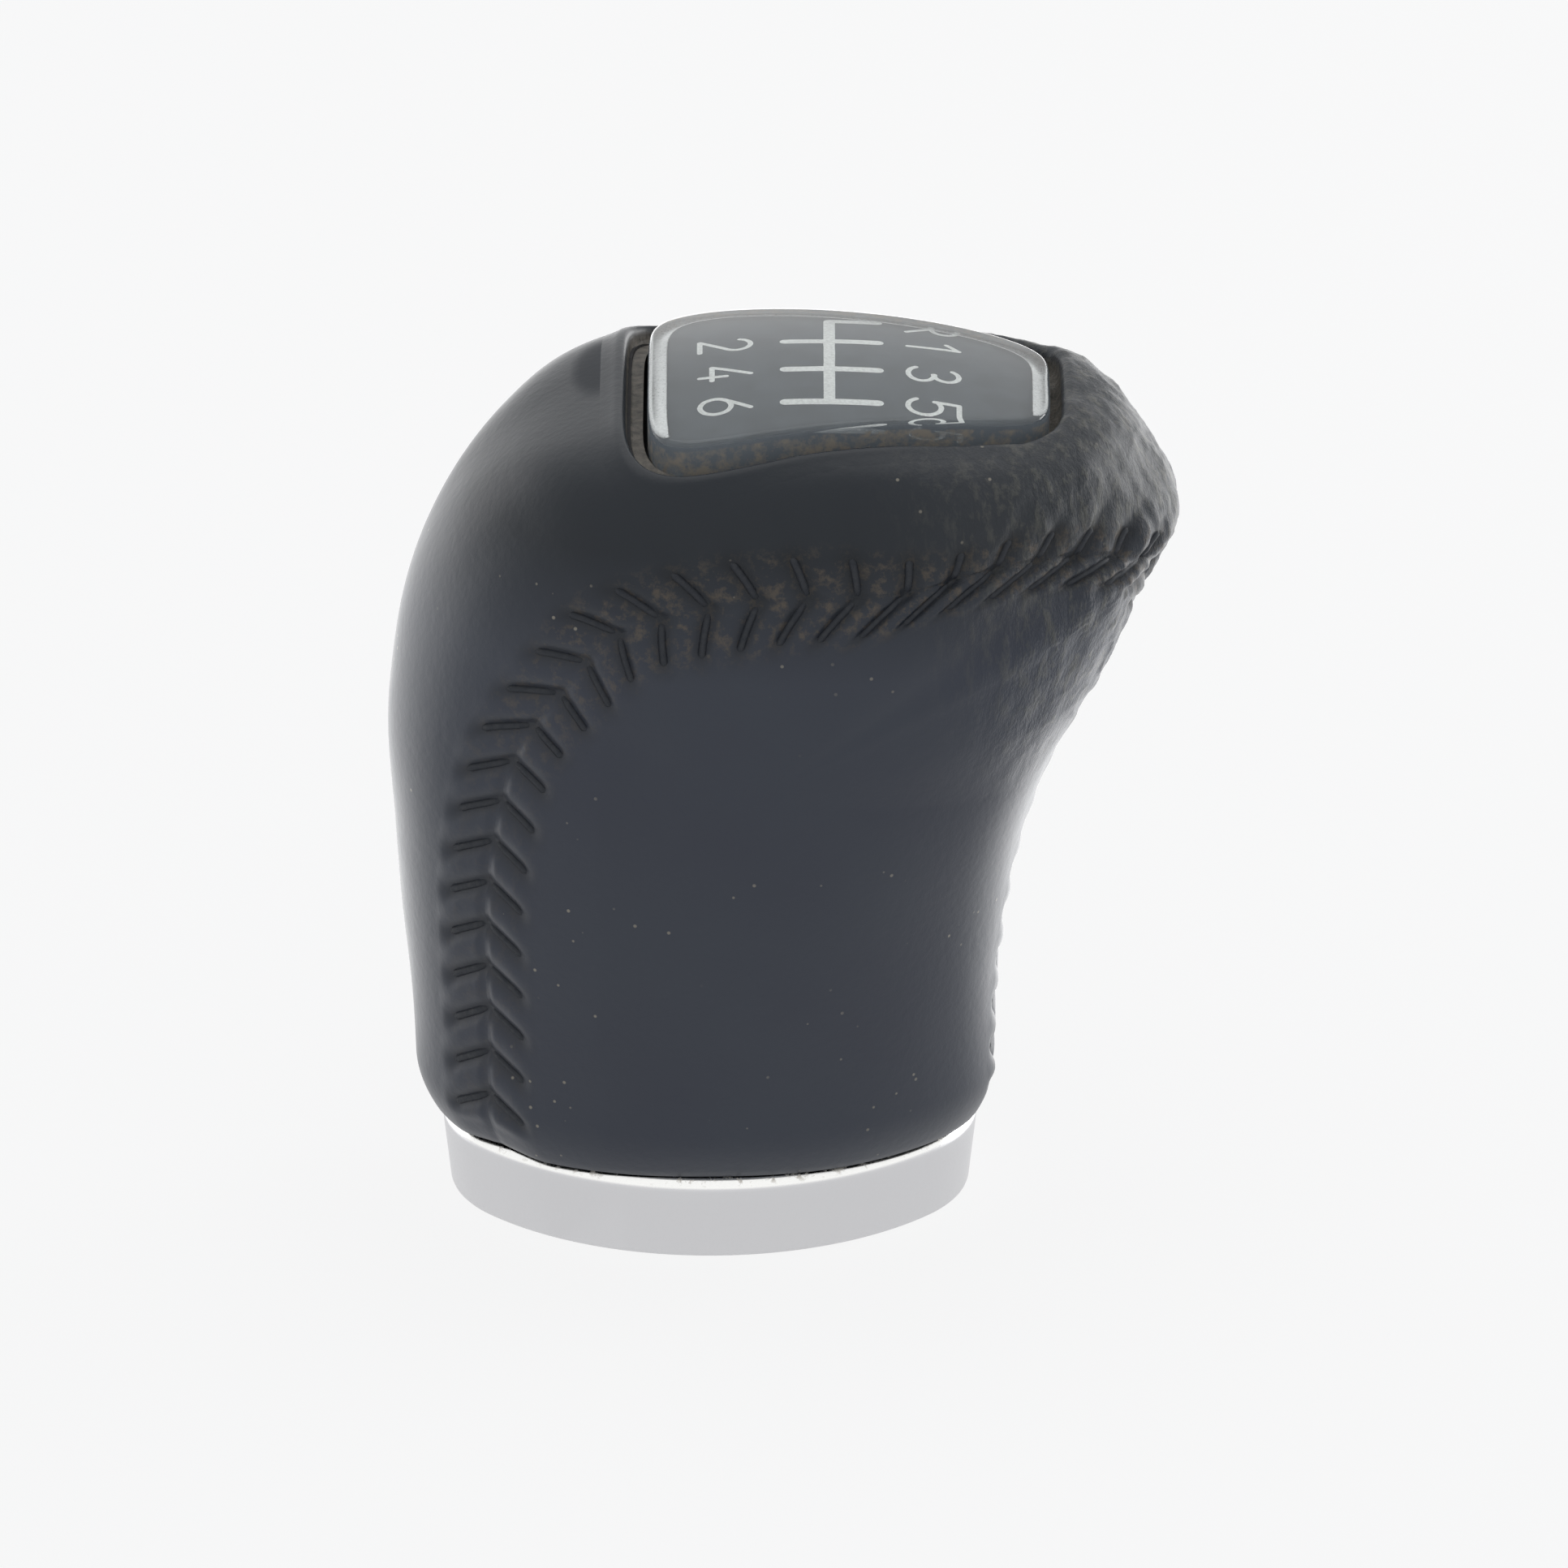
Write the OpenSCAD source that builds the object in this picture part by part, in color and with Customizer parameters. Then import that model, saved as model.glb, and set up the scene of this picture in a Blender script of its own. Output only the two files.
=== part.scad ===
// Leather-covered gear shift knob: an overhanging grip with a plaited seam,
// a crowned shift-pattern badge and a satin oval ring at its foot.
// The origin is on the lever's axis at the mouth of its socket, which is level
// with the ring's underside.
// +X is the front of the car, +Y its left-hand side and +Z up the lever.

/* [Foot ring] */
// Half length of the ring's outer edge, fore and aft
ring_half_l = 24.15; // [20:0.05:28]
// Half width of the ring's outer edge, across the car
ring_half_w = 18.1; // [15:0.05:22]
// Radius of the two end arcs of the ring's oval
ring_end_r = 13.5; // [9:0.5:15]
// Height of the ring
ring_h = 7.9; // [5:0.1:12]
// How much the ring's wall draws in towards its lower edge
ring_taper = 0.75; // [0:0.05:2]
// Wall of the ring
ring_wall = 2.4; // [1.2:0.1:3]
// Width and height of the bevel on the ring's upper edge
ring_bevel = 0.85; // [0.3:0.05:1.2]
// Width of the lip inside the ring that the collar clamps
ring_lip = 2.6; // [2:0.1:3.2]
// Thickness of that lip
ring_lip_t = 1.6; // [1:0.1:2.5]
// Bevel on the ring's two lower edges
ring_foot_bevel = 0.4; // [0.2:0.05:0.8]

/* [Grip] */
// Furthest reach of the grip behind the lever's axis
rear_reach = 28.6; // [24:0.2:34]
// Furthest reach of the nose ahead of the lever's axis
nose_reach = 42; // [34:0.5:50]
// Height of the crown over the foot ring
grip_h = 73; // [60:0.5:85]
// Half width of the grip at its foot
foot_half_w = 18.9; // [17:0.1:23]
// Half width of the grip at its head
head_half_w = 22; // [20:0.1:26]
// How far the covering tucks in over the ring
foot_tuck = 1.6; // [0.5:0.1:3]
// Height over which it tucks in
tuck_h = 5; // [3:0.5:8]

/* [Leather] */
// Thickness of the leather
leather_t = 1.3; // [0.8:0.1:1.8]
// Thickness of the glue between the leather and the foam
glue_t = 0.1; // [0.05:0.05:0.2]
// Depth of the channel that the seam is pulled down into
seam_dip = 0.5; // [0.2:0.05:0.7]
// Half width of that channel
seam_half_w = 4.6; // [2.5:0.1:5.5]
// Gap between two skived edges under the stitches
seam_gap = 0.6; // [0.2:0.1:1]
// Radius of the sewing thread
thread_r = 0.35; // [0.2:0.05:0.45]
// Distance from one stitch to the next
stitch_pitch = 4.4; // [3:0.05:6]
// How far a stitch leans along the seam
stitch_lean = 2.1; // [1:0.1:4]

/* [Badge] */
// Half length of the badge
badge_half_l = 17.85; // [14:0.05:20]
// Half width of the badge at its middle
badge_half_w = 13.1; // [11.5:0.1:14.5]
// Distance of the badge's middle ahead of the lever's axis
badge_x = 12.45; // [9:0.05:15]
// Narrowing of each side per millimetre towards the nose
badge_narrowing = 0.2; // [0:0.01:0.25]
// Bow of each side towards the ends
badge_bow = 0.001; // [0:0.001:0.01]
// Radius of the crowned face
dome_r = 80; // [60:5:150]
// Height of the lens over the grip's crown line
dome_rise = -0.4; // [-1:0.05:0.3]
// Distance of the dome's highest point ahead of the lever's axis
dome_x = 9.7; // [4:0.1:14]
// Thickness of the clear lens
lens_t = 3.4; // [2:0.1:4]
// Thickness of the printed plate and its frame
plate_t = 0.6; // [0.4:0.1:1]
// Width of the silver frame at the badge's two ends
frame_end_w = 1.9; // [1:0.1:2.5]
// Width of the silver frame along its sides
frame_side_w = 0.7; // [0.4:0.1:2]
// Thickness of the adhesive tape
tape_t = 0.5; // [0.3:0.1:0.8]
// Distance of the tape's edge inside the badge's edge
tape_inset = 0.8; // [0.4:0.1:2]
// Wall of the badge carrier
carrier_wall = 1.6; // [1.2:0.1:2.5]
// Gap around the badge in its pocket
pocket_gap = 1.5; // [0.6:0.1:2]
// Depth of the pocket's floor under the dome's highest point
pocket_depth = 9.6; // [8.5:0.1:10.5]

/* [Lever socket] */
// Radius of the bore that slides over the lever
bore_r = 6.1; // [5:0.1:7]
// Depth of the bore
bore_depth = 42; // [30:1:45]
// Wall of the steel sleeve
sleeve_wall = 1.9; // [1.6:0.1:2.5]
// Radius of the flange at the sleeve's mouth
flange_r = 9.6; // [9:0.1:10.5]
// Thickness of that flange
flange_t = 1.5; // [1:0.1:2]
// Wall of the rubber damper around the sleeve
damper_wall = 2.4; // [1.5:0.1:3]
// Radius of the wire of the lever clip
clip_wire_r = 0.55; // [0.4:0.05:0.7]
// Distance of the clip above the sleeve's mouth
clip_z = 8; // [6:0.5:14]
// Opening between the clip's two ends, in degrees
clip_opening = 60; // [30:5:90]

/* [Inner body] */
// Wall of the insert's tower
tower_wall = 2.6; // [2:0.1:4]
// Thickness of the insert's foot plate
foot_plate_t = 3.5; // [2.5:0.1:5]
// Distance of the foot plate's edge inside the ring's edge
foot_plate_inset = 5.2; // [4:0.1:7]
// Thickness of the insert's fins
fin_t = 2.6; // [2:0.1:4]
// Reach of the fins from the lever's axis, fore and aft
fin_reach = 18; // [16:0.5:19]
// Height of the fins
fin_h = 34; // [20:1:40]
// Thickness of the insert's head plate
head_plate_t = 5; // [4:0.1:6]
// Distance of the head plate's edge inside the badge's edge
head_plate_inset = 2; // [1:0.1:4]
// Wall around and over each screw in the insert
boss_wall = 1.5; // [1:0.1:2]
// Radius of the weight in the head
weight_r = 9; // [6:0.5:10]
// Height of the weight
weight_h = 13; // [8:0.5:14]
// Distance of the weight ahead of the lever's axis
weight_x = 6; // [4:0.5:9]

/* [Collar] */
// Thickness of the clamping collar
collar_t = 3; // [2:0.1:4]
// Radial clearance of the collar in the ring
collar_gap = 0.15; // [0.1:0.05:0.3]
// Depth of the wall around the collar's underside
collar_skirt = 2; // [1:0.1:3]
// Thickness of that wall
skirt_wall = 1.2; // [0.8:0.1:1.4]
// Radius of the screws
screw_r = 1.5; // [1:0.1:1.8]
// Length of the screws under their heads
screw_l = 11; // [8:0.5:12]
// Radius of the screws' heads
screw_head_r = 2.6; // [2.2:0.1:2.7]
// Height of the screws' heads
screw_head_h = 1.6; // [1:0.1:2]
// Distance of the screws from the lever's axis, fore and aft
screw_x = 12; // [11.5:0.1:12.5]
// Distance of the screws from the lever's axis, across the car
screw_y = 6; // [5.5:0.1:6.5]
// Width of the cross slot in the screws' heads
slot_w = 0.6; // [0.4:0.1:1]

/* [Hidden] */
$fn = 96;

// Small overlap that lets a cut run past a face
eps = 0.1;
foot_z = ring_h;
crown_z = foot_z + grip_h;
lip_z = ring_h - ring_lip_t;
collar_z = lip_z - collar_t;
flange_z = collar_z - flange_t;
screw_depth = screw_l - (foot_z - collar_z);
sleeve_r = bore_r + sleeve_wall;
sleeve_top = bore_depth + sleeve_wall;
damper_r = sleeve_r + damper_wall;
damper_top = sleeve_top + damper_wall;
tower_r = damper_r + tower_wall;
dome_z = crown_z + dome_rise;
floor_z = dome_z - pocket_depth;
head_plate_z = floor_z - head_plate_t;
weight_z = floor_z - weight_h;
// The clip's wire stands a fifth of its radius back from the bore
clip_r = bore_r + 1.2 * clip_wire_r;
screw_spots = [for (sx = [-1, 1]) for (sy = [-1, 1]) [sx * screw_x, sy * screw_y]];

// The ring's oval is four arcs: two ends of ring_end_r and two flatter sides
end_x = ring_half_l - ring_end_r;
side_y = (pow(end_x, 2) - pow(ring_half_w - ring_end_r, 2)) / (2 * (ring_half_w - ring_end_r));
side_r = ring_half_w + side_y;
join_angle = atan2(side_y, end_x);

// The grip's side view runs from the rear of the foot over the crown and the
// nose to the front of the foot. Each row is a point on it: its share of the
// reach, its share of the height, how far down the side the seam lies as a
// share of the way to the side's middle, and how square the section is there
// (2 is an ellipse).
ROWS = [
    [-0.920, 0.000, 0.23, 2.00],
    [-0.941, 0.165, 0.24, 2.00],
    [-0.986, 0.371, 0.26, 2.05],
    [-0.998, 0.560, 0.33, 2.10],
    [-0.900, 0.745, 0.42, 2.30],
    [-0.655, 0.885, 0.43, 3.20],
    [-0.315, 0.954, 0.44, 4.80],
    [0.190, 0.987, 0.43, 5.00],
    [0.571, 0.969, 0.40, 4.40],
    [0.820, 0.950, 0.32, 3.00],
    [0.945, 0.876, 0.20, 2.20],
    [1.000, 0.803, 0.09, 2.05],
    [0.962, 0.735, 0.02, 2.00],
    [0.862, 0.612, 0.00, 2.00],
    [0.738, 0.478, 0.00, 2.00],
    [0.659, 0.332, 0.00, 2.00],
    [0.627, 0.168, 0.00, 2.00],
    [0.622, 0.000, 0.00, 2.00]
];
last_row = len(ROWS) - 1;
// The rows up to this one, and as many at the front, face the side's middle line
side_rows = 3;
// That line runs up from the foot to this share of the nose's reach and of the height
pole_share = [0.095, 0.535];
pole = [pole_share[0] * nose_reach, foot_z + pole_share[1] * grip_h];
// The line starts this far behind the lever's axis
foot_middle_x = -0.3;
foot_middle = [foot_middle_x, foot_z];

// Stations along the side view, closer together at the foot
side_steps = 8;
top_steps = 30;
stations = [
    for (i = [0:side_steps]) side_rows * pow(i / side_steps, 1.5),
    for (i = [1:top_steps - 1]) side_rows + (last_row - 2 * side_rows) * i / top_steps,
    for (i = [side_steps:-1:0]) last_row - side_rows * pow(i / side_steps, 1.5)
];
last_station = len(stations) - 1;
// The strip's pointed end lies just under the nose
strip_end = 35;
// Stations between which the side seams and the front seam are stitched
side_seam = [0.3, 12];
front_seam = [13, 16.5];
panel_cols = 7;
strip_cols = 6;
body_cols = 11;

// One row of the side view in millimetres, carried on straight past both ends
function grip_row(i) =
    i < 0 ? 2 * grip_row(0) - grip_row(1) :
    i > last_row ? 2 * grip_row(last_row) - grip_row(last_row - 1) :
    let (r = ROWS[i], reach = r[0] < 0 ? rear_reach : nose_reach)
    [r[0] * reach, foot_z + r[1] * grip_h, r[2], r[3]];

// Smooth curve through four neighbouring rows
function blend(a, b, c, d, u) =
    0.5 * (2 * b + (c - a) * u + (2 * a - 5 * b + 4 * c - d) * u * u
        + (3 * b - a - 3 * c + d) * u * u * u);

function grip_form(t) =
    let (i = min(floor(t), last_row - 1))
    blend(grip_row(i - 1), grip_row(i), grip_row(i + 1), grip_row(i + 2), t - i);

// Outward direction of the side view at t
function outward(t) =
    let (
        a = grip_form(max(t - 0.01, 0)),
        b = grip_form(min(t + 0.01, last_row)),
        run = [b[0] - a[0], b[1] - a[1]]
    ) [-run[1], run[0]] / norm(run);

// Share of the way up the side's middle line that station t looks at
function side_share(t) = max(0, min(1, min(t, last_row - t) / side_rows));

function half_width(s) =
    foot_half_w + (head_half_w - foot_half_w) * s * s * (3 - 2 * s);

// Angle round the section at which the seam lies
function seam_angle(t) =
    let (f = grip_form(t)) acos(pow(1 - max(0, f[2]), f[3] / 2));

// Angle that spans a given length across the section near the seam
function span_angle(length) = 2 * length / (head_half_w + rear_reach) * 180 / PI;

// Point on the grip at station t: angle 0 is the middle plane and 90 the
// middle of the right-hand side, and depth is measured inwards
function grip_point(t, angle, depth) =
    let (
        f = grip_form(t),
        n = outward(t),
        s = side_share(t),
        middle = foot_middle + (pole - foot_middle) * s,
        edge = [f[0] - depth * n[0], max(foot_z, f[1] - depth * n[1])],
        k = pow(max(0, cos(angle)), 2 / f[3]),
        y = -sign(angle) * (half_width(s) - depth) * pow(abs(sin(angle)), 2 / f[3]),
        x = middle[0] + (edge[0] - middle[0]) * k,
        z = t == 0 || t == last_row ? foot_z : middle[1] + (edge[1] - middle[1]) * k,
        tuck = foot_tuck * pow(max(0, 1 - (z - foot_z) / tuck_h), 2),
        plan = max(norm([x, y]), 1)
    ) [x * (1 - tuck / plan), y * (1 - tuck / plan), z];

// Column angles of the side panel at t, from the seam to the side's middle
function panel_angle(t, j) =
    let (
        a = seam_angle(t) + span_angle(seam_gap / 2),
        b = a + span_angle(seam_half_w)
    ) j == 0 ? a : b + (90 - b) * (j - 1) / (panel_cols - 1);

// Column angles of the strip at t, from its middle to the seam
function strip_angle(t, j) =
    let (
        a = seam_angle(t) - span_angle(seam_gap / 2),
        b = a - min(a / 2, span_angle(seam_half_w))
    ) j == strip_cols ? a : b * j / (strip_cols - 1);

function signed_strip_angle(t, j) = sign(j) * strip_angle(t, abs(j));

// Two triangles over four points; those that shrink to a line are left out
function quad(a, b, c, d, flip) = [
    for (f = flip ? [[a, b, d], [b, c, d]] : [[a, b, c], [a, c, d]])
        if (f[0] != f[1] && f[1] != f[2] && f[0] != f[2]) f
];
function turned(f) = [f[2], f[1], f[0]];

// Point on the side's middle line that station i shares with its partner
function spine_index(i) = min(i, last_station - i, side_steps);

// Side panel: a skin between two depths, open at the foot and along the seam
module side_panel() {
    n = panel_cols;
    spine = (last_station + 1) * n;
    layer = spine + side_steps + 1;
    function id(i, j) = j < n ? i * n + j : spine + spine_index(i);
    function skin(deep) = [
        for (i = [0:last_station]) for (j = [0:n - 1])
            grip_point(stations[i], panel_angle(stations[i], j),
                deep ? leather_t : j == 0 ? seam_dip : 0),
        for (i = [0:side_steps]) grip_point(stations[i], 90, deep ? leather_t : 0)
    ];
    outer = [
        for (i = [0:last_station - 1]) for (j = [0:n - 1])
            each quad(id(i, j), id(i + 1, j), id(i + 1, j + 1), id(i, j + 1), false)
    ];
    inner = [for (f = outer) turned(f) + [layer, layer, layer]];
    seam_edge = [
        for (i = [0:last_station - 1])
            each quad(id(i + 1, 0), id(i, 0), id(i, 0) + layer, id(i + 1, 0) + layer, false)
    ];
    rear_foot = [
        for (j = [0:n - 1])
            each quad(id(0, j), id(0, j + 1), id(0, j + 1) + layer, id(0, j) + layer, false)
    ];
    e = last_station;
    front_foot = [
        for (j = [0:n - 1])
            each quad(id(e, j + 1), id(e, j), id(e, j) + layer, id(e, j + 1) + layer, false)
    ];
    polyhedron(
        concat(skin(false), skin(true)),
        concat(outer, inner, seam_edge, rear_foot, front_foot)
    );
}

// Centre strip: from the rear of the foot over the crown to a point under the nose
module strip_skin() {
    n = 2 * strip_cols;
    layer = (strip_end + 1) * (n + 1);
    function id(i, j) = i * (n + 1) + j;
    function skin(deep) = [
        for (i = [0:strip_end]) for (j = [-strip_cols:strip_cols])
            grip_point(stations[i], signed_strip_angle(stations[i], j),
                deep ? leather_t : abs(j) == strip_cols ? seam_dip : 0)
    ];
    outer = [
        for (i = [0:strip_end - 1]) for (j = [0:n - 1])
            each quad(id(i, j), id(i + 1, j), id(i + 1, j + 1), id(i, j + 1), j < strip_cols)
    ];
    inner = [for (f = outer) turned(f) + [layer, layer, layer]];
    edges = [
        for (i = [0:strip_end - 1]) each concat(
            quad(id(i + 1, 0), id(i, 0), id(i, 0) + layer, id(i + 1, 0) + layer, false),
            quad(id(i, n), id(i + 1, n), id(i + 1, n) + layer, id(i, n) + layer, false)
        )
    ];
    e = strip_end;
    ends = [
        for (j = [0:n - 1]) each concat(
            quad(id(0, j), id(0, j + 1), id(0, j + 1) + layer, id(0, j) + layer, false),
            quad(id(e, j + 1), id(e, j), id(e, j) + layer, id(e, j + 1) + layer, false)
        )
    ];
    polyhedron(concat(skin(false), skin(true)), concat(outer, inner, edges, ends));
}

// Everything inside a given depth, closed by a flat foot
module grip_solid(depth) {
    n = 2 * body_cols - 1;
    left = (last_station + 1) * n;
    right = left + side_steps + 1;
    centre = right + side_steps + 1;
    function id(i, j) =
        j == 0 ? left + spine_index(i) :
        j == n + 1 ? right + spine_index(i) : i * n + j - 1;
    points = concat(
        [for (i = [0:last_station]) for (j = [1:n])
            grip_point(stations[i], 90 * (j / body_cols - 1), depth)],
        [for (i = [0:side_steps]) grip_point(stations[i], -90, depth)],
        [for (i = [0:side_steps]) grip_point(stations[i], 90, depth)],
        [[foot_middle[0], 0, foot_z]]
    );
    sides = [
        for (i = [0:last_station - 1]) for (j = [0:n])
            each quad(id(i, j), id(i + 1, j), id(i + 1, j + 1), id(i, j + 1), j < body_cols)
    ];
    rim = [
        for (j = [0:n + 1]) id(0, j),
        for (j = [n:-1:1]) id(last_station, j)
    ];
    foot = [for (j = [0:len(rim) - 1]) [rim[j], rim[(j + 1) % len(rim)], centre]];
    polyhedron(points, concat(sides, foot));
}

// Length along the seam from the rear of the foot, paired with the station there
seam_samples = 10;
function seam_spot(i) = let (t = i / seam_samples) grip_point(t, seam_angle(t), seam_dip);
seam_table = [
    for (i = 0, run = 0; i <= last_row * seam_samples; i = i + 1,
        run = run + norm(seam_spot(i) - seam_spot(i - 1))) [run, i / seam_samples]
];
function seam_t(length) = lookup(length, seam_table);
function seam_length(t) = seam_table[round(t * seam_samples)][0];

// One V of thread: from a hole in one edge down to the middle of the seam and
// up to a hole in the other edge, resting on the leather all the way
stitch_sides = 5;
stitch_steps = 4;
function seat_depth(across) =
    seam_dip * max(0, 1 - abs(across) / seam_half_w) - thread_r;
function stitch_point(length, across) =
    let (t = seam_t(length))
    grip_point(t, seam_angle(t) + span_angle(across), seat_depth(across));

module stitch(length) {
    reach = seam_half_w - thread_r;
    shares = [for (i = [0:stitch_steps]) 2 * i / stitch_steps - 1];
    tube([for (u = shares) stitch_point(length + (1 - abs(u)) * stitch_lean, u * reach)]);
}

// Row of stitches between two stations, evenly spaced along the seam
module stitches(from_t, to_t) {
    from = seam_length(from_t);
    count = floor((seam_length(to_t) - from) / stitch_pitch);
    for (k = [0:count]) stitch(from + k * stitch_pitch);
}

// Tube of thread along a short path, which never runs along this direction
nearly_up = [0, 0.01, 1];

module tube(path) {
    last = len(path) - 1;
    rings = [
        for (i = [0:last])
            let (
                along = path[min(i + 1, last)] - path[max(i - 1, 0)],
                a = along / norm(along),
                side = cross(a, nearly_up),
                b = side / norm(side),
                c = cross(a, b)
            )
            for (k = [0:stitch_sides - 1])
                path[i] + thread_r * (b * cos(k * 360 / stitch_sides) + c * sin(k * 360 / stitch_sides))
    ];
    function id(i, k) = i * stitch_sides + k % stitch_sides;
    polyhedron(rings, concat(
        [for (i = [0:last - 1]) for (k = [0:stitch_sides - 1])
            each quad(id(i, k), id(i, k + 1), id(i + 1, k + 1), id(i + 1, k), false)],
        [[for (k = [stitch_sides - 1:-1:0]) id(0, k)]],
        [[for (k = [0:stitch_sides - 1]) id(last, k)]]
    ));
}

// Badge outline seen from above: bowed sides that close in towards the nose,
// and corners rounded to this power. It grows at its ends and at its sides
corner_power = 1 / 3;

function badge_point(angle, ends, sides) =
    let (
        x = (badge_half_l + ends) * sign(cos(angle)) * pow(abs(cos(angle)), corner_power),
        half = badge_half_w + sides - badge_narrowing * x - badge_bow * x * x
    ) [badge_x + x, half * sign(sin(angle)) * pow(abs(sin(angle)), corner_power)];

badge_steps = 72;

module badge_outline(ends, sides) {
    polygon([for (i = [0:badge_steps - 1]) badge_point((i + 0.5) * 360 / badge_steps, ends, sides)]);
}

dome_steps = 240;

module dome(depth) {
    translate([dome_x, 0, dome_z - dome_r]) sphere(r = dome_r - depth, $fn = dome_steps);
}

// Slice of the badge between two depths under the dome
module badge_layer(top, bottom, ends, sides) {
    difference() {
        intersection() {
            translate([0, 0, floor_z]) linear_extrude(2 * pocket_depth) badge_outline(ends, sides);
            dome(top);
        }
        dome(bottom);
    }
}

// Point on the ring's oval at a distance outside it
function oval_point(angle, grow) =
    let (
        q = angle % 360,
        sx = q < 90 || q > 270 ? 1 : -1,
        sy = q < 180 ? 1 : -1,
        a = q < 90 ? q : q < 180 ? 180 - q : q < 270 ? q - 180 : 360 - q
    )
    a < join_angle
        ? [sx * (end_x + (ring_end_r + grow) * cos(a)), sy * (ring_end_r + grow) * sin(a)]
        : [sx * (side_r + grow) * cos(a), sy * ((side_r + grow) * sin(a) - side_y)];

oval_steps = 72;

module oval_plate(grow) {
    polygon([for (i = [0:oval_steps - 1]) oval_point((i + 0.5) * 360 / oval_steps, grow)]);
}

// Sweeps a section round the oval; each of its points is a distance outside
// the oval and a height, in order from the inside round the bottom
module oval_sweep(section) {
    n = len(section);
    function id(i, j) = (i % oval_steps) * n + j % n;
    points = [
        for (i = [0:oval_steps - 1]) for (p = section)
            let (q = oval_point((i + 0.5) * 360 / oval_steps, p[0])) [q[0], q[1], p[1]]
    ];
    faces = [
        for (i = [0:oval_steps - 1]) for (j = [0:n - 1])
            each quad(id(i, j), id(i, j + 1), id(i + 1, j + 1), id(i + 1, j), false)
    ];
    polyhedron(points, faces);
}

module base_ring() {
    color([0.80, 0.80, 0.81])
    oval_sweep([
        [-ring_taper - ring_wall, ring_foot_bevel],
        [-ring_taper - ring_wall + ring_foot_bevel, 0],
        [-ring_taper - ring_foot_bevel, 0],
        [-ring_taper, ring_foot_bevel],
        [0, ring_h - ring_bevel],
        [-ring_bevel, ring_h],
        [-ring_wall - ring_lip, ring_h],
        [-ring_wall - ring_lip, lip_z],
        [-ring_taper - ring_wall, lip_z]
    ]);
}

module collar() {
    color([0.13, 0.13, 0.14])
    difference() {
        union() {
            translate([0, 0, collar_z]) linear_extrude(collar_t)
                oval_plate(-ring_taper - ring_wall - collar_gap);
            translate([0, 0, collar_z]) linear_extrude(ring_h - collar_z)
                oval_plate(-ring_wall - ring_lip - collar_gap);
            translate([0, 0, collar_z - collar_skirt]) linear_extrude(collar_skirt)
                difference() {
                    oval_plate(-ring_taper - ring_wall - collar_gap);
                    oval_plate(-ring_taper - ring_wall - collar_gap - skirt_wall);
                }
        }
        translate([0, 0, collar_z - eps]) cylinder(r = sleeve_r, h = ring_h);
        for (p = screw_spots) translate([p[0], p[1], collar_z - eps])
            cylinder(r = screw_r, h = ring_h, $fn = 32);
    }
}

module collar_screws() {
    color([0.62, 0.62, 0.60])
    for (p = screw_spots) translate([p[0], p[1], collar_z]) difference() {
        union() {
            cylinder(r = screw_r, h = screw_l, $fn = 32);
            translate([0, 0, -screw_head_h]) cylinder(r = screw_head_r, h = screw_head_h, $fn = 32);
        }
        for (a = [0, 90]) rotate(a) translate([0, 0, -screw_head_h])
            cube([screw_head_r, slot_w, screw_head_h], center = true);
    }
}

module socket_sleeve() {
    color([0.66, 0.67, 0.69])
    difference() {
        union() {
            cylinder(r = sleeve_r, h = sleeve_top);
            translate([0, 0, flange_z]) cylinder(r = flange_r, h = flange_t);
        }
        translate([0, 0, -eps]) cylinder(r = bore_r, h = bore_depth + eps);
        translate([0, 0, clip_z - clip_wire_r])
            cylinder(r = clip_r + clip_wire_r, h = 2 * clip_wire_r);
    }
}

module lever_clip() {
    color([0.55, 0.56, 0.58])
    translate([0, 0, clip_z]) rotate(clip_opening / 2)
        rotate_extrude(angle = 360 - clip_opening)
            translate([clip_r, 0]) circle(r = clip_wire_r, $fn = 24);
}

module damper_sleeve() {
    color([0.10, 0.10, 0.10])
    difference() {
        translate([0, 0, foot_z]) cylinder(r = damper_r, h = damper_top - foot_z);
        translate([0, 0, foot_z - eps]) cylinder(r = sleeve_r, h = sleeve_top - foot_z + eps);
    }
}

// Outer shape of the insert, which the foam is moulded round
module insert_body() {
    translate([0, 0, foot_z]) linear_extrude(foot_plate_t) oval_plate(-foot_plate_inset);
    translate([0, 0, foot_z]) cylinder(r = tower_r, h = head_plate_z - foot_z);
    translate([-fin_reach, -fin_t / 2, foot_z]) cube([2 * fin_reach, fin_t, fin_h]);
    for (p = screw_spots) translate([p[0], p[1], foot_z])
        cylinder(r = screw_r + boss_wall, h = screw_depth + boss_wall, $fn = 32);
    translate([0, 0, head_plate_z]) linear_extrude(head_plate_t)
        badge_outline(-head_plate_inset, -head_plate_inset);
    translate([weight_x, 0, weight_z - tower_wall])
        cylinder(r = weight_r + tower_wall, h = weight_h + tower_wall);
}

module core_insert() {
    color([0.22, 0.22, 0.23])
    difference() {
        insert_body();
        translate([0, 0, foot_z - eps]) cylinder(r = damper_r, h = damper_top - foot_z + eps);
        translate([weight_x, 0, weight_z]) cylinder(r = weight_r, h = weight_h + eps);
        for (p = screw_spots) translate([p[0], p[1], foot_z - eps])
            cylinder(r = screw_r, h = screw_depth + eps, $fn = 32);
    }
}

module head_weight() {
    color([0.50, 0.51, 0.53])
    translate([weight_x, 0, weight_z]) cylinder(r = weight_r, h = weight_h);
}

module pocket() {
    translate([0, 0, floor_z]) linear_extrude(3 * pocket_depth) badge_outline(pocket_gap, pocket_gap);
}

module foam_body() {
    color([0.16, 0.16, 0.17])
    difference() {
        grip_solid(leather_t + glue_t);
        insert_body();
        pocket();
    }
}

module leather_right() {
    color([0.17, 0.19, 0.22]) side_panel();
}

module leather_left() {
    color([0.17, 0.19, 0.22]) mirror([0, 1, 0]) side_panel();
}

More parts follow.
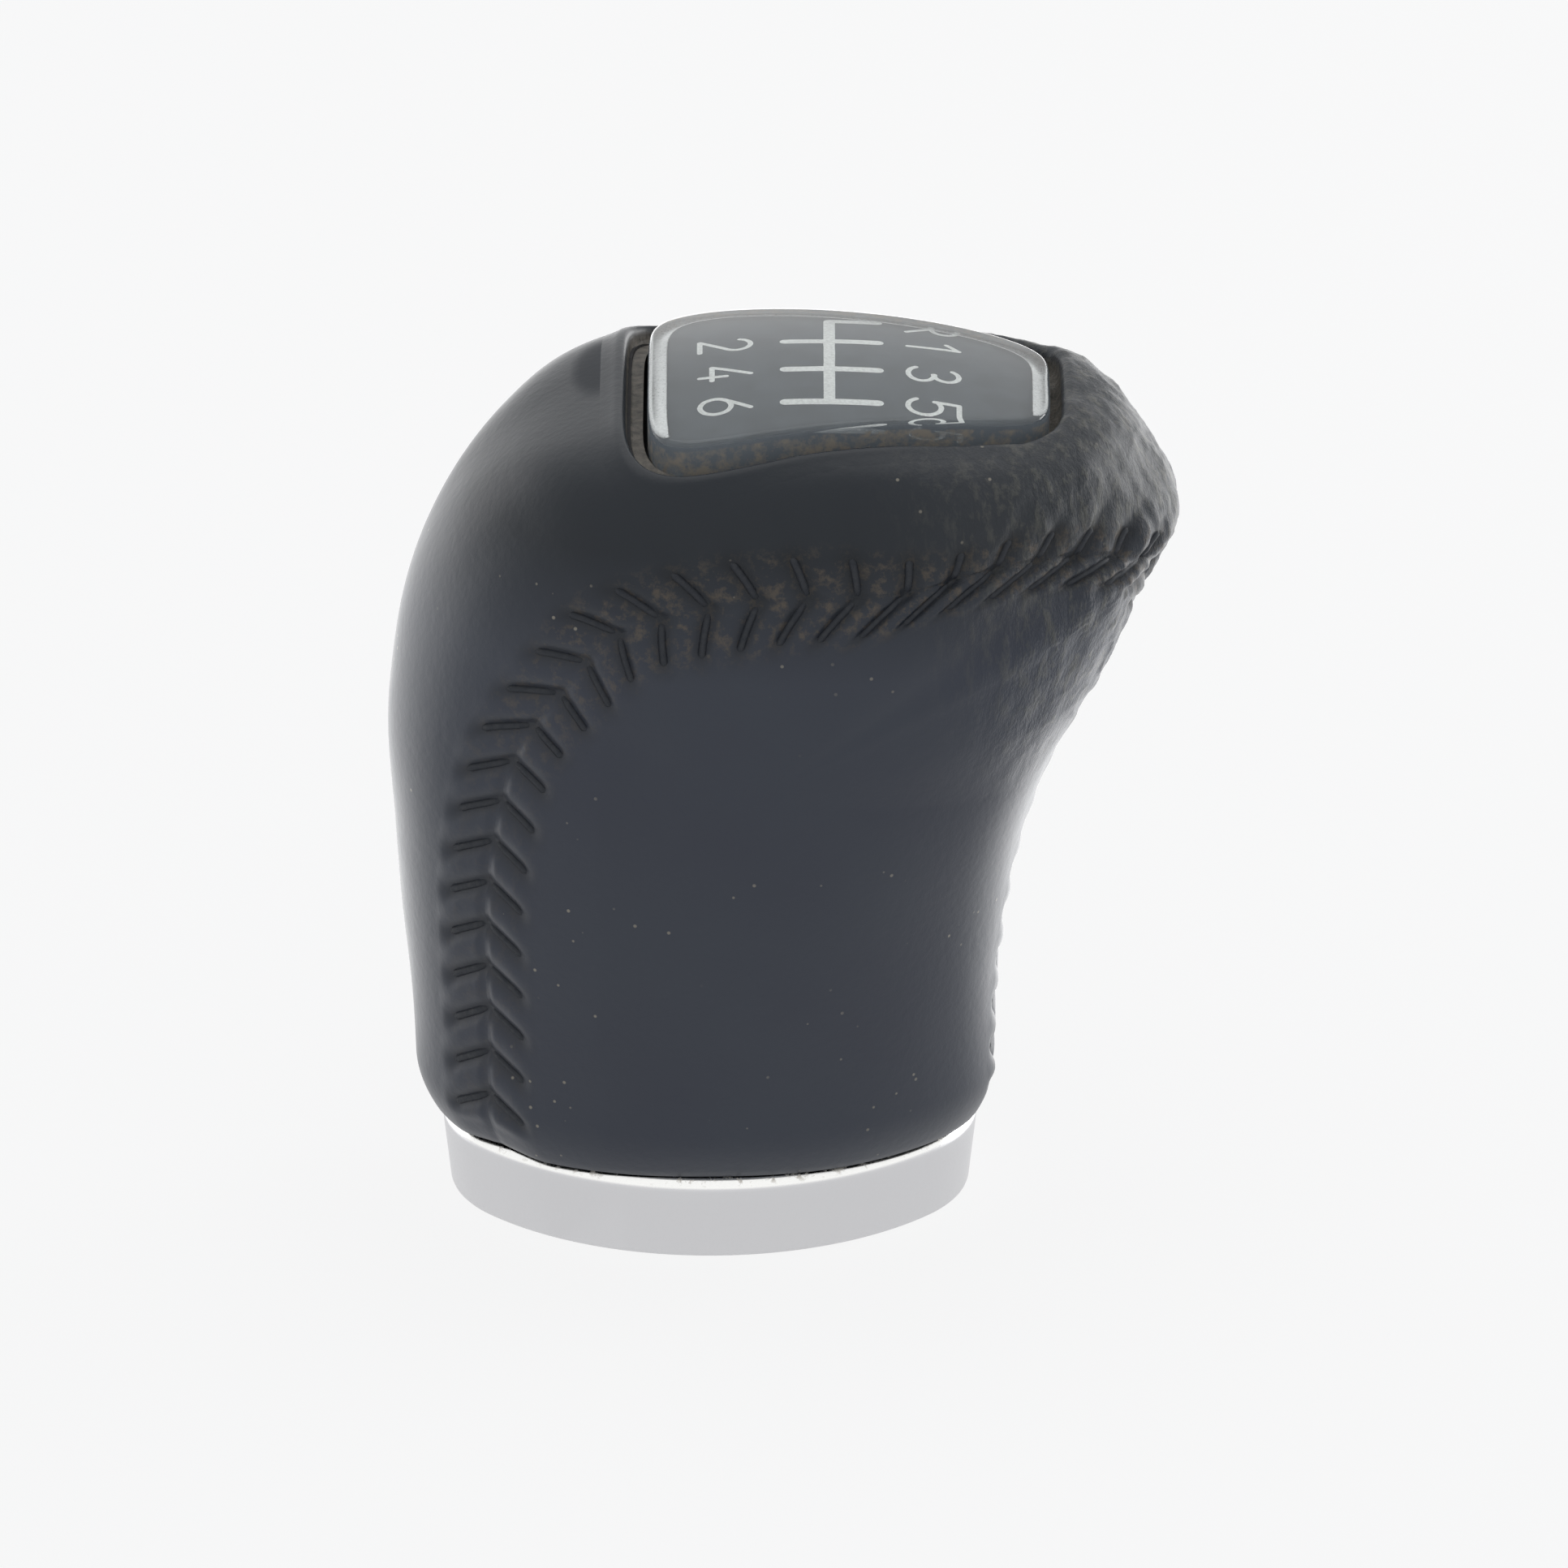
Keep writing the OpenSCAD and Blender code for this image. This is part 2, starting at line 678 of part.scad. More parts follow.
module leather_strip() {
    color([0.18, 0.20, 0.23])
    difference() {
        strip_skin();
        pocket();
    }
}

module seam_thread_right() {
    color([0.06, 0.06, 0.07]) stitches(side_seam[0], side_seam[1]);
}

module seam_thread_left() {
    color([0.06, 0.06, 0.07]) mirror([0, 1, 0]) stitches(side_seam[0], side_seam[1]);
}

module seam_thread_front() {
    color([0.06, 0.06, 0.07]) stitches(front_seam[0], front_seam[1]);
}

module badge_carrier() {
    color([0.09, 0.09, 0.10])
    difference() {
        badge_layer(lens_t + plate_t + tape_t, dome_r, 0, 0);
        difference() {
            badge_layer(lens_t + plate_t + tape_t + carrier_wall, dome_r, -carrier_wall, -carrier_wall);
            for (a = [0, 90]) translate([badge_x, 0, floor_z]) rotate(a)
                translate([-badge_half_l, -carrier_wall / 2, 0])
                    cube([2 * badge_half_l, carrier_wall, pocket_depth]);
        }
    }
}

module badge_tape() {
    color([0.85, 0.85, 0.82])
    badge_layer(lens_t + plate_t, lens_t + plate_t + tape_t, -tape_inset, -tape_inset);
}

module badge_frame() {
    color([0.78, 0.79, 0.80])
    difference() {
        badge_layer(lens_t, lens_t + plate_t, 0, 0);
        translate([0, 0, floor_z]) linear_extrude(2 * pocket_depth)
            badge_outline(-frame_end_w, -frame_side_w);
    }
}

module badge_plate() {
    color([0.36, 0.38, 0.40])
    badge_layer(lens_t, lens_t + plate_t, -frame_end_w, -frame_side_w);
}

module badge_lens() {
    color([0.75, 0.80, 0.82, 0.35])
    badge_layer(0, lens_t, 0, 0);
}

base_ring();
collar();
collar_screws();
socket_sleeve();
lever_clip();
damper_sleeve();
core_insert();
head_weight();
foam_body();
leather_right();
leather_left();
leather_strip();
seam_thread_right();
seam_thread_left();
seam_thread_front();
badge_carrier();
badge_tape();
badge_frame();
badge_plate();
badge_lens();
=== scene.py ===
"""Looks of a used, leather-covered gear knob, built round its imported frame.

Lengths are written in millimetres and turned to metres when a mesh is made.
The car's front is +X, its left-hand side +Y and the lever points up along +Z.
"""

import math

import bmesh
import bpy
import numpy as np
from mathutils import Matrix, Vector, noise
from mathutils.bvhtree import BVHTree


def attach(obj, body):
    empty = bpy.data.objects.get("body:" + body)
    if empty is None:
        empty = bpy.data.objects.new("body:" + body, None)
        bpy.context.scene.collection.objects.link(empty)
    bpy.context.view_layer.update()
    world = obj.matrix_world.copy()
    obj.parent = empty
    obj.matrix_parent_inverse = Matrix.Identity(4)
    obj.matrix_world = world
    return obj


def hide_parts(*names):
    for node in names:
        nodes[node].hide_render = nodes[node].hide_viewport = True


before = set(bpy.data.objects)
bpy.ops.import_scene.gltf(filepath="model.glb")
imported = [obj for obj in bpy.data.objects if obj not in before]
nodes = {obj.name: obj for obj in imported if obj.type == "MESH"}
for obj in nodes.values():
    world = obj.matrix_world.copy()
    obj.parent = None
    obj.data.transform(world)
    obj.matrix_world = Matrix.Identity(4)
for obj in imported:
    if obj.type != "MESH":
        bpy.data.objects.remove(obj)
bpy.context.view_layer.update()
MM = 0.001

# ---------------------------------------------------------------- the grip's form
FOOT_Z, GRIP_H = 7.9, 73.0
REAR_REACH, NOSE_REACH = 28.6, 42.0
FOOT_HALF_W, HEAD_HALF_W = 18.9, 22.0
FOOT_TUCK, TUCK_H = 1.6, 5.0
FOOT_MIDDLE = np.array([-0.3, FOOT_Z])
POLE = np.array([0.095 * NOSE_REACH, FOOT_Z + 0.535 * GRIP_H])
SIDE_ROWS = 3
INSIDE = np.array([0, 0, 45])  # a point well inside the knob

# Share of the reach, share of the height, how far down the side the seam lies,
# and how square the section is, from the rear of the foot over the crown and the
# nose to the front of the foot
ROWS = np.array([
    [-0.920, 0.000, 0.23, 2.00],
    [-0.941, 0.165, 0.24, 2.00],
    [-0.986, 0.371, 0.26, 2.05],
    [-0.998, 0.560, 0.33, 2.10],
    [-0.900, 0.745, 0.42, 2.30],
    [-0.655, 0.885, 0.43, 3.20],
    [-0.315, 0.954, 0.44, 4.80],
    [0.190, 0.987, 0.43, 5.00],
    [0.571, 0.969, 0.40, 4.40],
    [0.820, 0.950, 0.32, 3.00],
    [0.945, 0.876, 0.20, 2.20],
    [1.000, 0.803, 0.09, 2.05],
    [0.962, 0.735, 0.02, 2.00],
    [0.862, 0.612, 0.00, 2.00],
    [0.738, 0.478, 0.00, 2.00],
    [0.659, 0.332, 0.00, 2.00],
    [0.627, 0.168, 0.00, 2.00],
    [0.622, 0.000, 0.00, 2.00],
])
LAST_ROW = len(ROWS) - 1
form = ROWS.copy()
form[:, 0] *= np.where(ROWS[:, 0] < 0, REAR_REACH, NOSE_REACH)
form[:, 1] = FOOT_Z + ROWS[:, 1] * GRIP_H
form = np.vstack([2 * form[0] - form[1], form, 2 * form[-1] - form[-2]])

# The seam and its stitches
SEAM_DIP, SEAM_HALF_W = 0.5, 4.6
THREAD_R, STITCH_PITCH, STITCH_LEAN, STITCH_REACH = 0.42, 4.4, 2.1, 4.25
LEAN_BEYOND = 0.6  # share of the lean that a dimple keeps past its stitch
SIDE_SEAM, FRONT_SEAM = (0.3, 12.0), (13.0, 16.5)
STRIP_END = 13.0

# The leather's relief: the slit between its edges, the dimple under each stitch and
# the puffed leather between them, its swell and the creases of the worn nose
CHANNEL_REACH = (0.4, SEAM_HALF_W + 0.8)
SLIT_DEPTH, SLIT_W = 0.10, 0.6
DIMPLE_DEPTH, DIMPLE_W, DIMPLE_REACH = 0.52, 0.80, (STITCH_REACH - 0.9, STITCH_REACH + 1.2)
PUFF_H, PUFF_W, PUFF_FROM, PUFF_REACH = 0.24, 1.3, (0.1, 1.0), (3.0, 6.2)
# On the crown each dimple runs on as a faint pull, on the strip's side of the seam
PULL, PULL_RUN, PULL_REACH = 0.55, (60, 72), (5, 10.5)
# The painted shade in each dimple, and the dust along the seam
SHADE_W, SHADE_REACH, DUST_REACH = 1.1, (3.6, 6.2), (3.0, 6.0)
SWELL, SWELL_SIZE = 0.14, 11
CREASE, CREASE_MEAN, CREASE_SIZE = 0.22, 1.2, np.array([2.6, 2.6, 6.5])
FOOT_TURN, FOOT_TURN_H = 0.06, 0.6

# The badge's outline, and how the leather sags beside it
BADGE_HALF_L, BADGE_HALF_W, BADGE_X = 17.85, 13.1, 12.45
BADGE_NARROWING, BADGE_BOW, CORNER_POWER = 0.2, 0.001, 6
CROWN_Z = 60
SAG, SAG_GAP, SAG_REACH = 0.85, 1.5, (-1, 6)
SAG_FROM, SAG_TO = (-7, 6), (28, 34)

# Where hands have worn the nose, and the dull patch behind the badge
WORN_X, WORN_Z, WORN_SLOPE = (16, 36), (38, 52), 0.25
PATCH_AT, PATCH_REACH = np.array([-9.8, 5.0, 77.5]), np.array([2.6, 7.0, 6.0])
PATCH_EDGE = (0.6, 1.1)  # shares of its reach between which the patch fades


def profile(t):
    """The side view at stations t: x, z, the seam's share and the squareness."""
    i = np.clip(np.floor(t).astype(int), 0, LAST_ROW - 1)
    u = (t - i)[:, None]
    a, b, c, d = (form[i + k] for k in range(4))
    bend = (2 * a - 5 * b + 4 * c - d) * u**2 + (3 * b - a - 3 * c + d) * u**3
    return 0.5 * (2 * b + (c - a) * u + bend)


def sections(t, samples=241):
    """Each station's path over the right-hand side, from the middle plane to the
    side's middle line: its points, its running length and the seam's place on it."""
    f = profile(t)
    up = np.clip(np.minimum(t, LAST_ROW - t) / SIDE_ROWS, 0, 1)[:, None]
    middle = FOOT_MIDDLE + (POLE - FOOT_MIDDLE) * up
    half = FOOT_HALF_W + (HEAD_HALF_W - FOOT_HALF_W) * up**2 * (3 - 2 * up)
    power = f[:, 3:4] / 2
    w = np.linspace(0, 1, samples)[None]
    angle = math.pi / 2 * w**power / (w**power + (1 - w) ** power)
    k = np.abs(np.cos(angle)) ** (1 / power)
    x = middle[:, :1] + (f[:, :1] - middle[:, :1]) * k
    z = middle[:, 1:] + (f[:, 1:2] - middle[:, 1:]) * k
    y = -half * np.sin(angle) ** (1 / power)
    tuck = FOOT_TUCK * np.clip(1 - (z - FOOT_Z) / TUCK_H, 0, 1) ** 2
    shrink = 1 - tuck / np.maximum(np.hypot(x, y), 1)
    points = np.stack([x * shrink, y * shrink, z], axis=2)
    steps = np.linalg.norm(np.diff(points, axis=1), axis=2)
    length = np.concatenate([np.zeros((len(t), 1)), np.cumsum(steps, axis=1)], axis=1)
    share = np.clip(f[:, 2], 0, 1)
    seam = np.array([np.interp(1 - s, q[::-1], n[::-1]) for s, q, n in zip(share, k, length)])
    return points, length, seam


def along(path, length, at):
    """Points on a path at given lengths."""
    return np.stack([np.interp(at, length, path[:, i]) for i in range(3)], axis=1)


table_t = np.linspace(0, LAST_ROW, 681)
table_points, table_length, table_seam = sections(table_t)
seam_line = np.array([
    along(p, n, [s])[0] for p, n, s in zip(table_points, table_length, table_seam)
])
table_run = np.concatenate(
    [[0], np.cumsum(np.linalg.norm(np.diff(seam_line, axis=0), axis=1))]
)
side_first, side_last = np.interp(SIDE_SEAM, table_t, table_run)
front_first, front_last = np.interp(FRONT_SEAM, table_t, table_run)


def on_grip(run, off):
    """Points on the right-hand side of the plain form: run millimetres along the
    seam and off millimetres to its side, towards the side's middle if positive."""
    points = np.empty((len(run), 3))
    stations, which = np.unique(run, return_inverse=True)
    path, length, seam = sections(np.interp(stations, table_run, table_t))
    for i in range(len(stations)):
        here = which == i
        points[here] = along(path[i], length[i], seam[i] + off[here])
    return points


def smooth(a, b, x):
    """0 below a, 1 above b and an S between them."""
    u = np.clip((x - a) / (b - a), 0, 1)
    return u * u * (3 - 2 * u)


def nearness(run, off):
    """How far a place is from the nearest leg of a stitch, and 1 where it is sewn."""
    far = np.abs(off)
    first = np.where(run > (side_last + front_first) / 2, front_first, side_first)
    lean = STITCH_LEAN * (1 - far / STITCH_REACH)
    lean = np.where(far > STITCH_REACH, lean * LEAN_BEYOND, lean)
    phase = ((run - first - lean) / STITCH_PITCH) % 1
    slant = math.cos(math.atan2(STITCH_LEAN, STITCH_REACH))
    gap = np.minimum(phase, 1 - phase) * STITCH_PITCH * slant
    sewn = 0
    for first, last in ((side_first, side_last), (front_first, front_last)):
        begun, ended = smooth(first - 2, first, run), smooth(last + 2, last + 4, run)
        sewn = (sewn + begun) * (1 - ended)
    return gap, sewn


def relief(points, run, off):
    """How far the leather stands proud of the plain form, in millimetres."""
    far = np.abs(off)
    gap, sewn = nearness(run, off)
    channel = -SEAM_DIP * (1 - smooth(*CHANNEL_REACH, far))
    slit = -SLIT_DEPTH * np.exp(-((far / SLIT_W) ** 2))
    across = 1 - smooth(*DIMPLE_REACH, far)
    pull = smooth(*PULL_RUN, run) * (1 - smooth(*PULL_REACH, far)) * (off < 0) * PULL
    dimple = -DIMPLE_DEPTH * np.exp(-((gap / DIMPLE_W) ** 2)) * np.maximum(across, pull)
    puff = PUFF_H * (1 - np.exp(-((gap / PUFF_W) ** 2))) * (1 - smooth(*PUFF_REACH, far))
    puff *= smooth(*PUFF_FROM, far)
    rise = channel + slit + sewn * (dimple + puff)
    x, y, z = points.T
    swell = np.array([noise.noise(Vector(p) / SWELL_SIZE) for p in points])
    crease = np.array([
        noise.ridged_multi_fractal(Vector(p / CREASE_SIZE), 0.9, 2.1, 3, 0.9, 2.0)
        for p in points
    ])
    rise += SWELL * swell + CREASE * nose_wear(points) * (crease - CREASE_MEAN)
    turned = smooth(0, FOOT_TURN_H, z - FOOT_Z) - 1
    beside = np.abs(y) - (BADGE_HALF_W - BADGE_NARROWING * (x - BADGE_X) + SAG_GAP)
    sag = (1 - smooth(*SAG_REACH, beside)) * smooth(*SAG_FROM, x) * (1 - smooth(*SAG_TO, x))
    return rise + FOOT_TURN * turned - SAG * sag * (z > CROWN_Z)


def nose_wear(points):
    """1 where hands have worn the nose rough, and 0 on the smooth leather."""
    x, y, z = points.T
    return smooth(*WORN_X, x + WORN_SLOPE * (z - CROWN_Z)) * smooth(*WORN_Z, z)


def matte_patch(points):
    """1 on the dull patch behind the badge where the finish has gone."""
    return 1 - smooth(*PATCH_EDGE, np.linalg.norm((points - PATCH_AT) / PATCH_REACH, axis=1))


# ---------------------------------------------------------------- meshes
def finished(bm, name, material, smooth_faces=True):
    """The object of a finished bmesh, riding on the one body."""
    mesh = bpy.data.meshes.new(name)
    bm.to_mesh(mesh)
    bm.free()
    mesh.polygons.foreach_set("use_smooth", [smooth_faces] * len(mesh.polygons))
    made = bpy.data.objects.new(name, mesh)
    bpy.context.scene.collection.objects.link(made)
    mesh.materials.append(material)
    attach(made, "root")
    return made


def grid(across, along_):
    """A bmesh grid and each vertex's two shares, from 0 to 1."""
    bm = bmesh.new()
    bmesh.ops.create_grid(bm, x_segments=across, y_segments=along_, size=1)
    flat = np.array([v.co[:2] for v in bm.verts])
    return bm, (flat[:, 0] + 1) / 2, (flat[:, 1] + 1) / 2


def move_to(bm, points):
    """Puts a bmesh's vertices at points given in millimetres."""
    for v, p in zip(bm.verts, points):
        v.co = Vector(p) * MM


def turn_outwards(bm, centre):
    """Turns an open sheet's faces away from a point inside it."""
    bm.normal_update()
    middle = Vector(centre) * MM
    if sum(f.normal.dot(f.calc_center_median() - middle) for f in bm.faces) < 0:
        bmesh.ops.reverse_faces(bm, faces=bm.faces)


def leather_piece(side, run, off, across, along_):
    """A sheet of leather on one side of the knob, not yet shaped: run and off give
    each grid vertex's place by the seam."""
    bm, u, v = grid(across, along_)
    run, off = run(u), off(u, v)
    points = on_grip(run, off)
    points[:, 1] *= side
    move_to(bm, points)
    layers = [bm.verts.layers.float.new(n) for n in ("run", "off")]
    for vert, r, o in zip(bm.verts, run, off):
        vert[layers[0]], vert[layers[1]] = r, o
    bmesh.ops.remove_doubles(bm, verts=bm.verts, dist=1e-6)
    turn_outwards(bm, INSIDE)
    return bm


def carve(bm):
    """Moves a leather sheet's vertices along their normals by the relief, and
    notes the seam, the painted shade in its dimples and the wear for the material."""
    run = np.array([v[bm.verts.layers.float["run"]] for v in bm.verts])
    off = np.array([v[bm.verts.layers.float["off"]] for v in bm.verts])
    points = np.array([v.co for v in bm.verts]) / MM
    rise = relief(points, run, off)
    gap, sewn = nearness(run, off)
    shade = sewn * np.exp(-((gap / SHADE_W) ** 2))
    marks = {
        "seam": sewn * (1 - smooth(*DUST_REACH, np.abs(off))),
        "pulled": shade * (1 - smooth(*SHADE_REACH, np.abs(off))),
        "wear": nose_wear(points),
        "rubbed": matte_patch(points),
    }
    bm.normal_update()
    for v, r in zip(bm.verts, rise):
        v.co += v.normal * (r * MM)
    for name, values in marks.items():
        layer = bm.verts.layers.float.new(name)
        for v, value in zip(bm.verts, values):
            v[layer] = value


# ---------------------------------------------------------------- materials
def srgb(code):
    """Linear colour of a hex code such as 2A2F37."""
    parts = [int(code[i:i + 2], 16) / 255 for i in (0, 2, 4)]
    linear = [p / 12.92 if p <= 0.04045 else ((p + 0.055) / 1.055) ** 2.4 for p in parts]
    return (*linear, 1)


def add(tree, kind, sockets=None, **settings):
    """Adds a shader node with its settings, and links or sets its sockets."""
    made = tree.nodes.new("ShaderNode" + kind)
    for key, value in settings.items():
        setattr(made, key, value)
    for key, value in (sockets or {}).items():
        if isinstance(value, bpy.types.NodeSocket):
            tree.links.new(value, made.inputs[key])
        else:
            made.inputs[key].default_value = value
    return made


def material(name, **values):
    """A new material: its tree and its Principled shader, with plain values set."""
    made = bpy.data.materials.new(name)
    made.use_nodes = True
    shader = made.node_tree.nodes["Principled BSDF"]
    for key, value in values.items():
        shader.inputs[key.replace("_", " ")].default_value = value
    return made, made.node_tree, shader


def per_mm(size):
    """Scale of a texture on Object coordinates whose features are size mm apart."""
    return 1 / (size * MM)


def ramp(tree, value, low, high, to_low=0.0, to_high=1.0):
    """Node that takes low and high to to_low and to_high, and stays there beyond."""
    return add(tree, "MapRange", {
        "Value": value, "From Min": low, "From Max": high, "To Min": to_low, "To Max": to_high,
    }).outputs["Result"]


# Finished nappa, rubbed smooth by hands: fine pores, a soft polish, a duller crown
# that is darker, partly its own tone and partly painted shade, a chapped nose, painted
# shade in the dimples at the stitches, and brown dust that lies in the upper seam and
# in the badge's pocket
CROWN_DARKENS, DUSTY_SEAM = (58 * MM, 70 * MM), (45 * MM, 64 * MM)
leather, tree, shader = material("worn_nappa_leather", IOR=1.5, Coat_Roughness=0.30)
where = add(tree, "TexCoord").outputs["Object"]
seam, pulled, wear, rubbed, pocket_dirt = (
    add(tree, "Attribute", attribute_name=name).outputs["Fac"]
    for name in ("seam", "pulled", "wear", "rubbed", "pocket")
)


def grain(size, detail=3.0, roughness=0.5, vector=where):
    """Noise whose features are size mm apart, in the tree that is being built."""
    return add(tree, "TexNoise", {
        "Vector": vector, "Scale": per_mm(size), "Detail": detail, "Roughness": roughness,
    }).outputs["Fac"]


def times(a, b):
    """Node for a times b, in the tree that is being built."""
    return add(tree, "Math", {0: a, 1: b}, operation="MULTIPLY").outputs[0]


def plus(a, b):
    """Node for a plus b, in the tree that is being built."""
    return add(tree, "Math", {0: a, 1: b}, operation="ADD").outputs[0]


def mix(share, a, b):
    """Node for colour a, and for colour b where the share is 1."""
    return add(tree, "Mix", {"Factor": share, "A": a, "B": b}, data_type="RGBA").outputs["Result"]


tone, fine = grain(16, 4.0), grain(1.1, 5.0, 0.65)
long_way = add(tree, "Mapping", {"Vector": where, "Scale": (1.0, 1.0, 0.32)}).outputs["Vector"]
streaks = grain(1.1, 5.0, 0.7, long_way)
flecks = times(ramp(tree, streaks, 0.50, 0.64), wear)
colour = mix(ramp(tree, tone, 0.35, 0.65), srgb("1E2637"), srgb("252D3B"))
high = add(tree, "SeparateXYZ", {"Vector": where}).outputs["Z"]
# Painted shade, in part: towards the crown the colour is mixed darker and greener, partly the
# leather's own tone and partly the shade that falls on the crown's shoulder.
colour = mix(ramp(tree, high, *CROWN_DARKENS, 0.0, 0.8), colour, srgb("12191E"))
whole = add(tree, "Math", {0: 1.0, 1: wear}, operation="SUBTRACT").outputs[0]
dull_crown = times(ramp(tree, high, *CROWN_DARKENS), whole)
tree.links.new(ramp(tree, dull_crown, 0.0, 1.0, 0.42, 0.29), shader.inputs["Specular IOR Level"])
tree.links.new(ramp(tree, dull_crown, 0.0, 1.0, 0.25, 0.13), shader.inputs["Coat Weight"])
colour = mix(times(flecks, 0.7), colour, srgb("55554F"))
grime = times(times(ramp(tree, fine, 0.50, 0.66), seam), ramp(tree, high, *DUSTY_SEAM, 0.15, 0.8))
colour = mix(grime, colour, srgb("5A5044"))
# Painted shade: the dimples at the stitches are darkened in colour, where shade lies in them.
colour = mix(times(pulled, 0.65), colour, srgb("0B0E11"))
fuzz = times(ramp(tree, fine, 0.30, 0.62), pocket_dirt)
colour = mix(plus(times(fuzz, 0.6), times(pocket_dirt, 0.3)), colour, srgb("8A847A"))
cells = add(tree, "TexVoronoi", {"Vector": where, "Scale": per_mm(1.8)}).outputs["Distance"]
specks = times(ramp(tree, cells, 0.06, 0.11, 1.0, 0.0), ramp(tree, grain(9, 1.0), 0.54, 0.62))
colour = mix(specks, colour, srgb("8A8478"))
colour = mix(times(rubbed, 0.35), colour, srgb("1E2127"))
tree.links.new(colour, shader.inputs["Base Color"])
dulled = plus(times(wear, 0.22), times(rubbed, 0.30))
dulled = plus(dulled, plus(times(pocket_dirt, 0.35), times(pulled, 0.2)))
tree.links.new(plus(ramp(tree, tone, 0.3, 0.7, 0.34, 0.43), dulled), shader.inputs["Roughness"])
pores = add(tree, "TexVoronoi", {"Vector": where, "Scale": per_mm(0.8)}).outputs["Distance"]
skin = add(tree, "Bump", {
    "Strength": 0.22, "Distance": 0.05 * MM, "Height": pores,
}).outputs["Normal"]
skin = add(tree, "Bump", {
    "Strength": 0.5, "Distance": 0.09 * MM, "Height": fine, "Normal": skin,
}).outputs["Normal"]
rough_skin = times(streaks, plus(wear, times(pocket_dirt, 0.6)))
skin = add(tree, "Bump", {
    "Strength": 1.0, "Distance": 0.6 * MM, "Height": rough_skin, "Normal": skin,
})
tree.links.new(skin.outputs["Normal"], shader.inputs["Normal"])


def plain(name, code, rough_low, rough_high, size, depth, **values):
    """A one-colour finish with a grain of a given size in millimetres: it varies the
    tone and the roughness a little and raises the surface by depth."""
    made, tree, shader = material(name, **values)
    where = add(tree, "TexCoord").outputs["Object"]
    grains = add(tree, "TexNoise", {
        "Vector": where, "Scale": per_mm(size), "Detail": 3.0,
    }).outputs["Fac"]
    light = srgb(code)
    dark = tuple(0.8 * c for c in light[:3]) + (1,)
    spread = ramp(tree, grains, 0.35, 0.65)
    tint = add(tree, "Mix", {"Factor": spread, "A": dark, "B": light}, data_type="RGBA")
    tree.links.new(tint.outputs["Result"], shader.inputs["Base Color"])
    tree.links.new(ramp(tree, grains, 0.3, 0.7, rough_low, rough_high), shader.inputs["Roughness"])
    skin = add(tree, "Bump", {"Strength": 0.5, "Distance": depth * MM, "Height": grains})
    tree.links.new(skin.outputs["Normal"], shader.inputs["Normal"])
    return made


# Waxed, bonded polyester thread: black, with a dull shine
thread = plain("waxed_black_thread", "23272E", 0.55, 0.75, 0.5, 0.08)
# Satin chrome: an even fine grain that softens every reflection, a smoother bevel
# with a painted highlight in its brighter colour, and dust that dulls it
satin, tree, shader = material("satin_chrome", Metallic=1.0)
where = add(tree, "TexCoord").outputs["Object"]
polish_and_highlight, dusty = (
    add(tree, "Attribute", attribute_name=name).outputs["Fac"] for name in ("polish_and_highlight", "dusty")
)
dust = times(ramp(tree, grain(0.8, 4.0, 0.6, where), 0.56, 0.66), times(dusty, 0.7))
# Painted highlight: the bevel's colour is brighter than the ring's, standing in for the bright line
# it catches.
colour = mix(polish_and_highlight, srgb("D2D2D4"), srgb("F7F7F5"))
tree.links.new(mix(dust, colour, srgb("BFB29A")), shader.inputs["Base Color"])
bare = add(tree, "Math", {0: 1.0, 1: dust}, operation="SUBTRACT").outputs[0]
tree.links.new(bare, shader.inputs["Metallic"])
even = ramp(tree, grain(0.25, 3.0, 0.5, where), 0.3, 0.7, 0.30, 0.40)
sheen = plus(even, times(polish_and_highlight, -0.17))
tree.links.new(plus(sheen, times(dust, 0.4)), shader.inputs["Roughness"])
# Anodised aluminium foil of the badge: bright, with a sparkling grain
foil = plain("anodised_aluminium", "F0F1F1", 0.26, 0.42, 0.22, 0.01, Metallic=1.0)
# Metallic grey print under the lens
plate_print = plain("metallic_grey_print", "5E656B", 0.40, 0.52, 2.5, 0.001, Metallic=0.3)
# White screen print
white_print = plain("white_screen_print", "F8FAF8", 0.45, 0.6, 0.25, 0.004)
# The hidden pieces keep their shape and get the finish of what they are made of
HIDDEN = {
    "collar": plain("black_polyamide", "16161A", 0.5, 0.65, 0.6, 0.03),
    "badge_carrier": plain("black_abs", "131315", 0.45, 0.6, 0.6, 0.02),
    "core_insert": plain("grey_polyamide", "37383A", 0.5, 0.65, 0.8, 0.03),
    "collar_screws": plain("zinc_plated_steel", "B4B4AE", 0.3, 0.45, 0.4, 0.01, Metallic=1.0),
    "socket_sleeve": plain("drawn_steel", "B2B5B9", 0.25, 0.4, 0.5, 0.008, Metallic=1.0),
    "lever_clip": plain("spring_steel", "8C8F94", 0.25, 0.35, 0.4, 0.006, Metallic=1.0),
    "damper_sleeve": plain("moulded_rubber", "1B1B1B", 0.7, 0.85, 0.7, 0.03),
    "head_weight": plain("cast_zinc", "8F9298", 0.45, 0.6, 0.9, 0.04, Metallic=1.0),
    "foam_body": plain("skinned_foam", "2B2B2D", 0.75, 0.9, 0.7, 0.06),
    "badge_tape": plain("foam_tape", "D6D6D0", 0.8, 0.9, 0.5, 0.03),
}
for name, finish in HIDDEN.items():
    nodes[name].data.materials.clear()
    nodes[name].data.materials.append(finish)

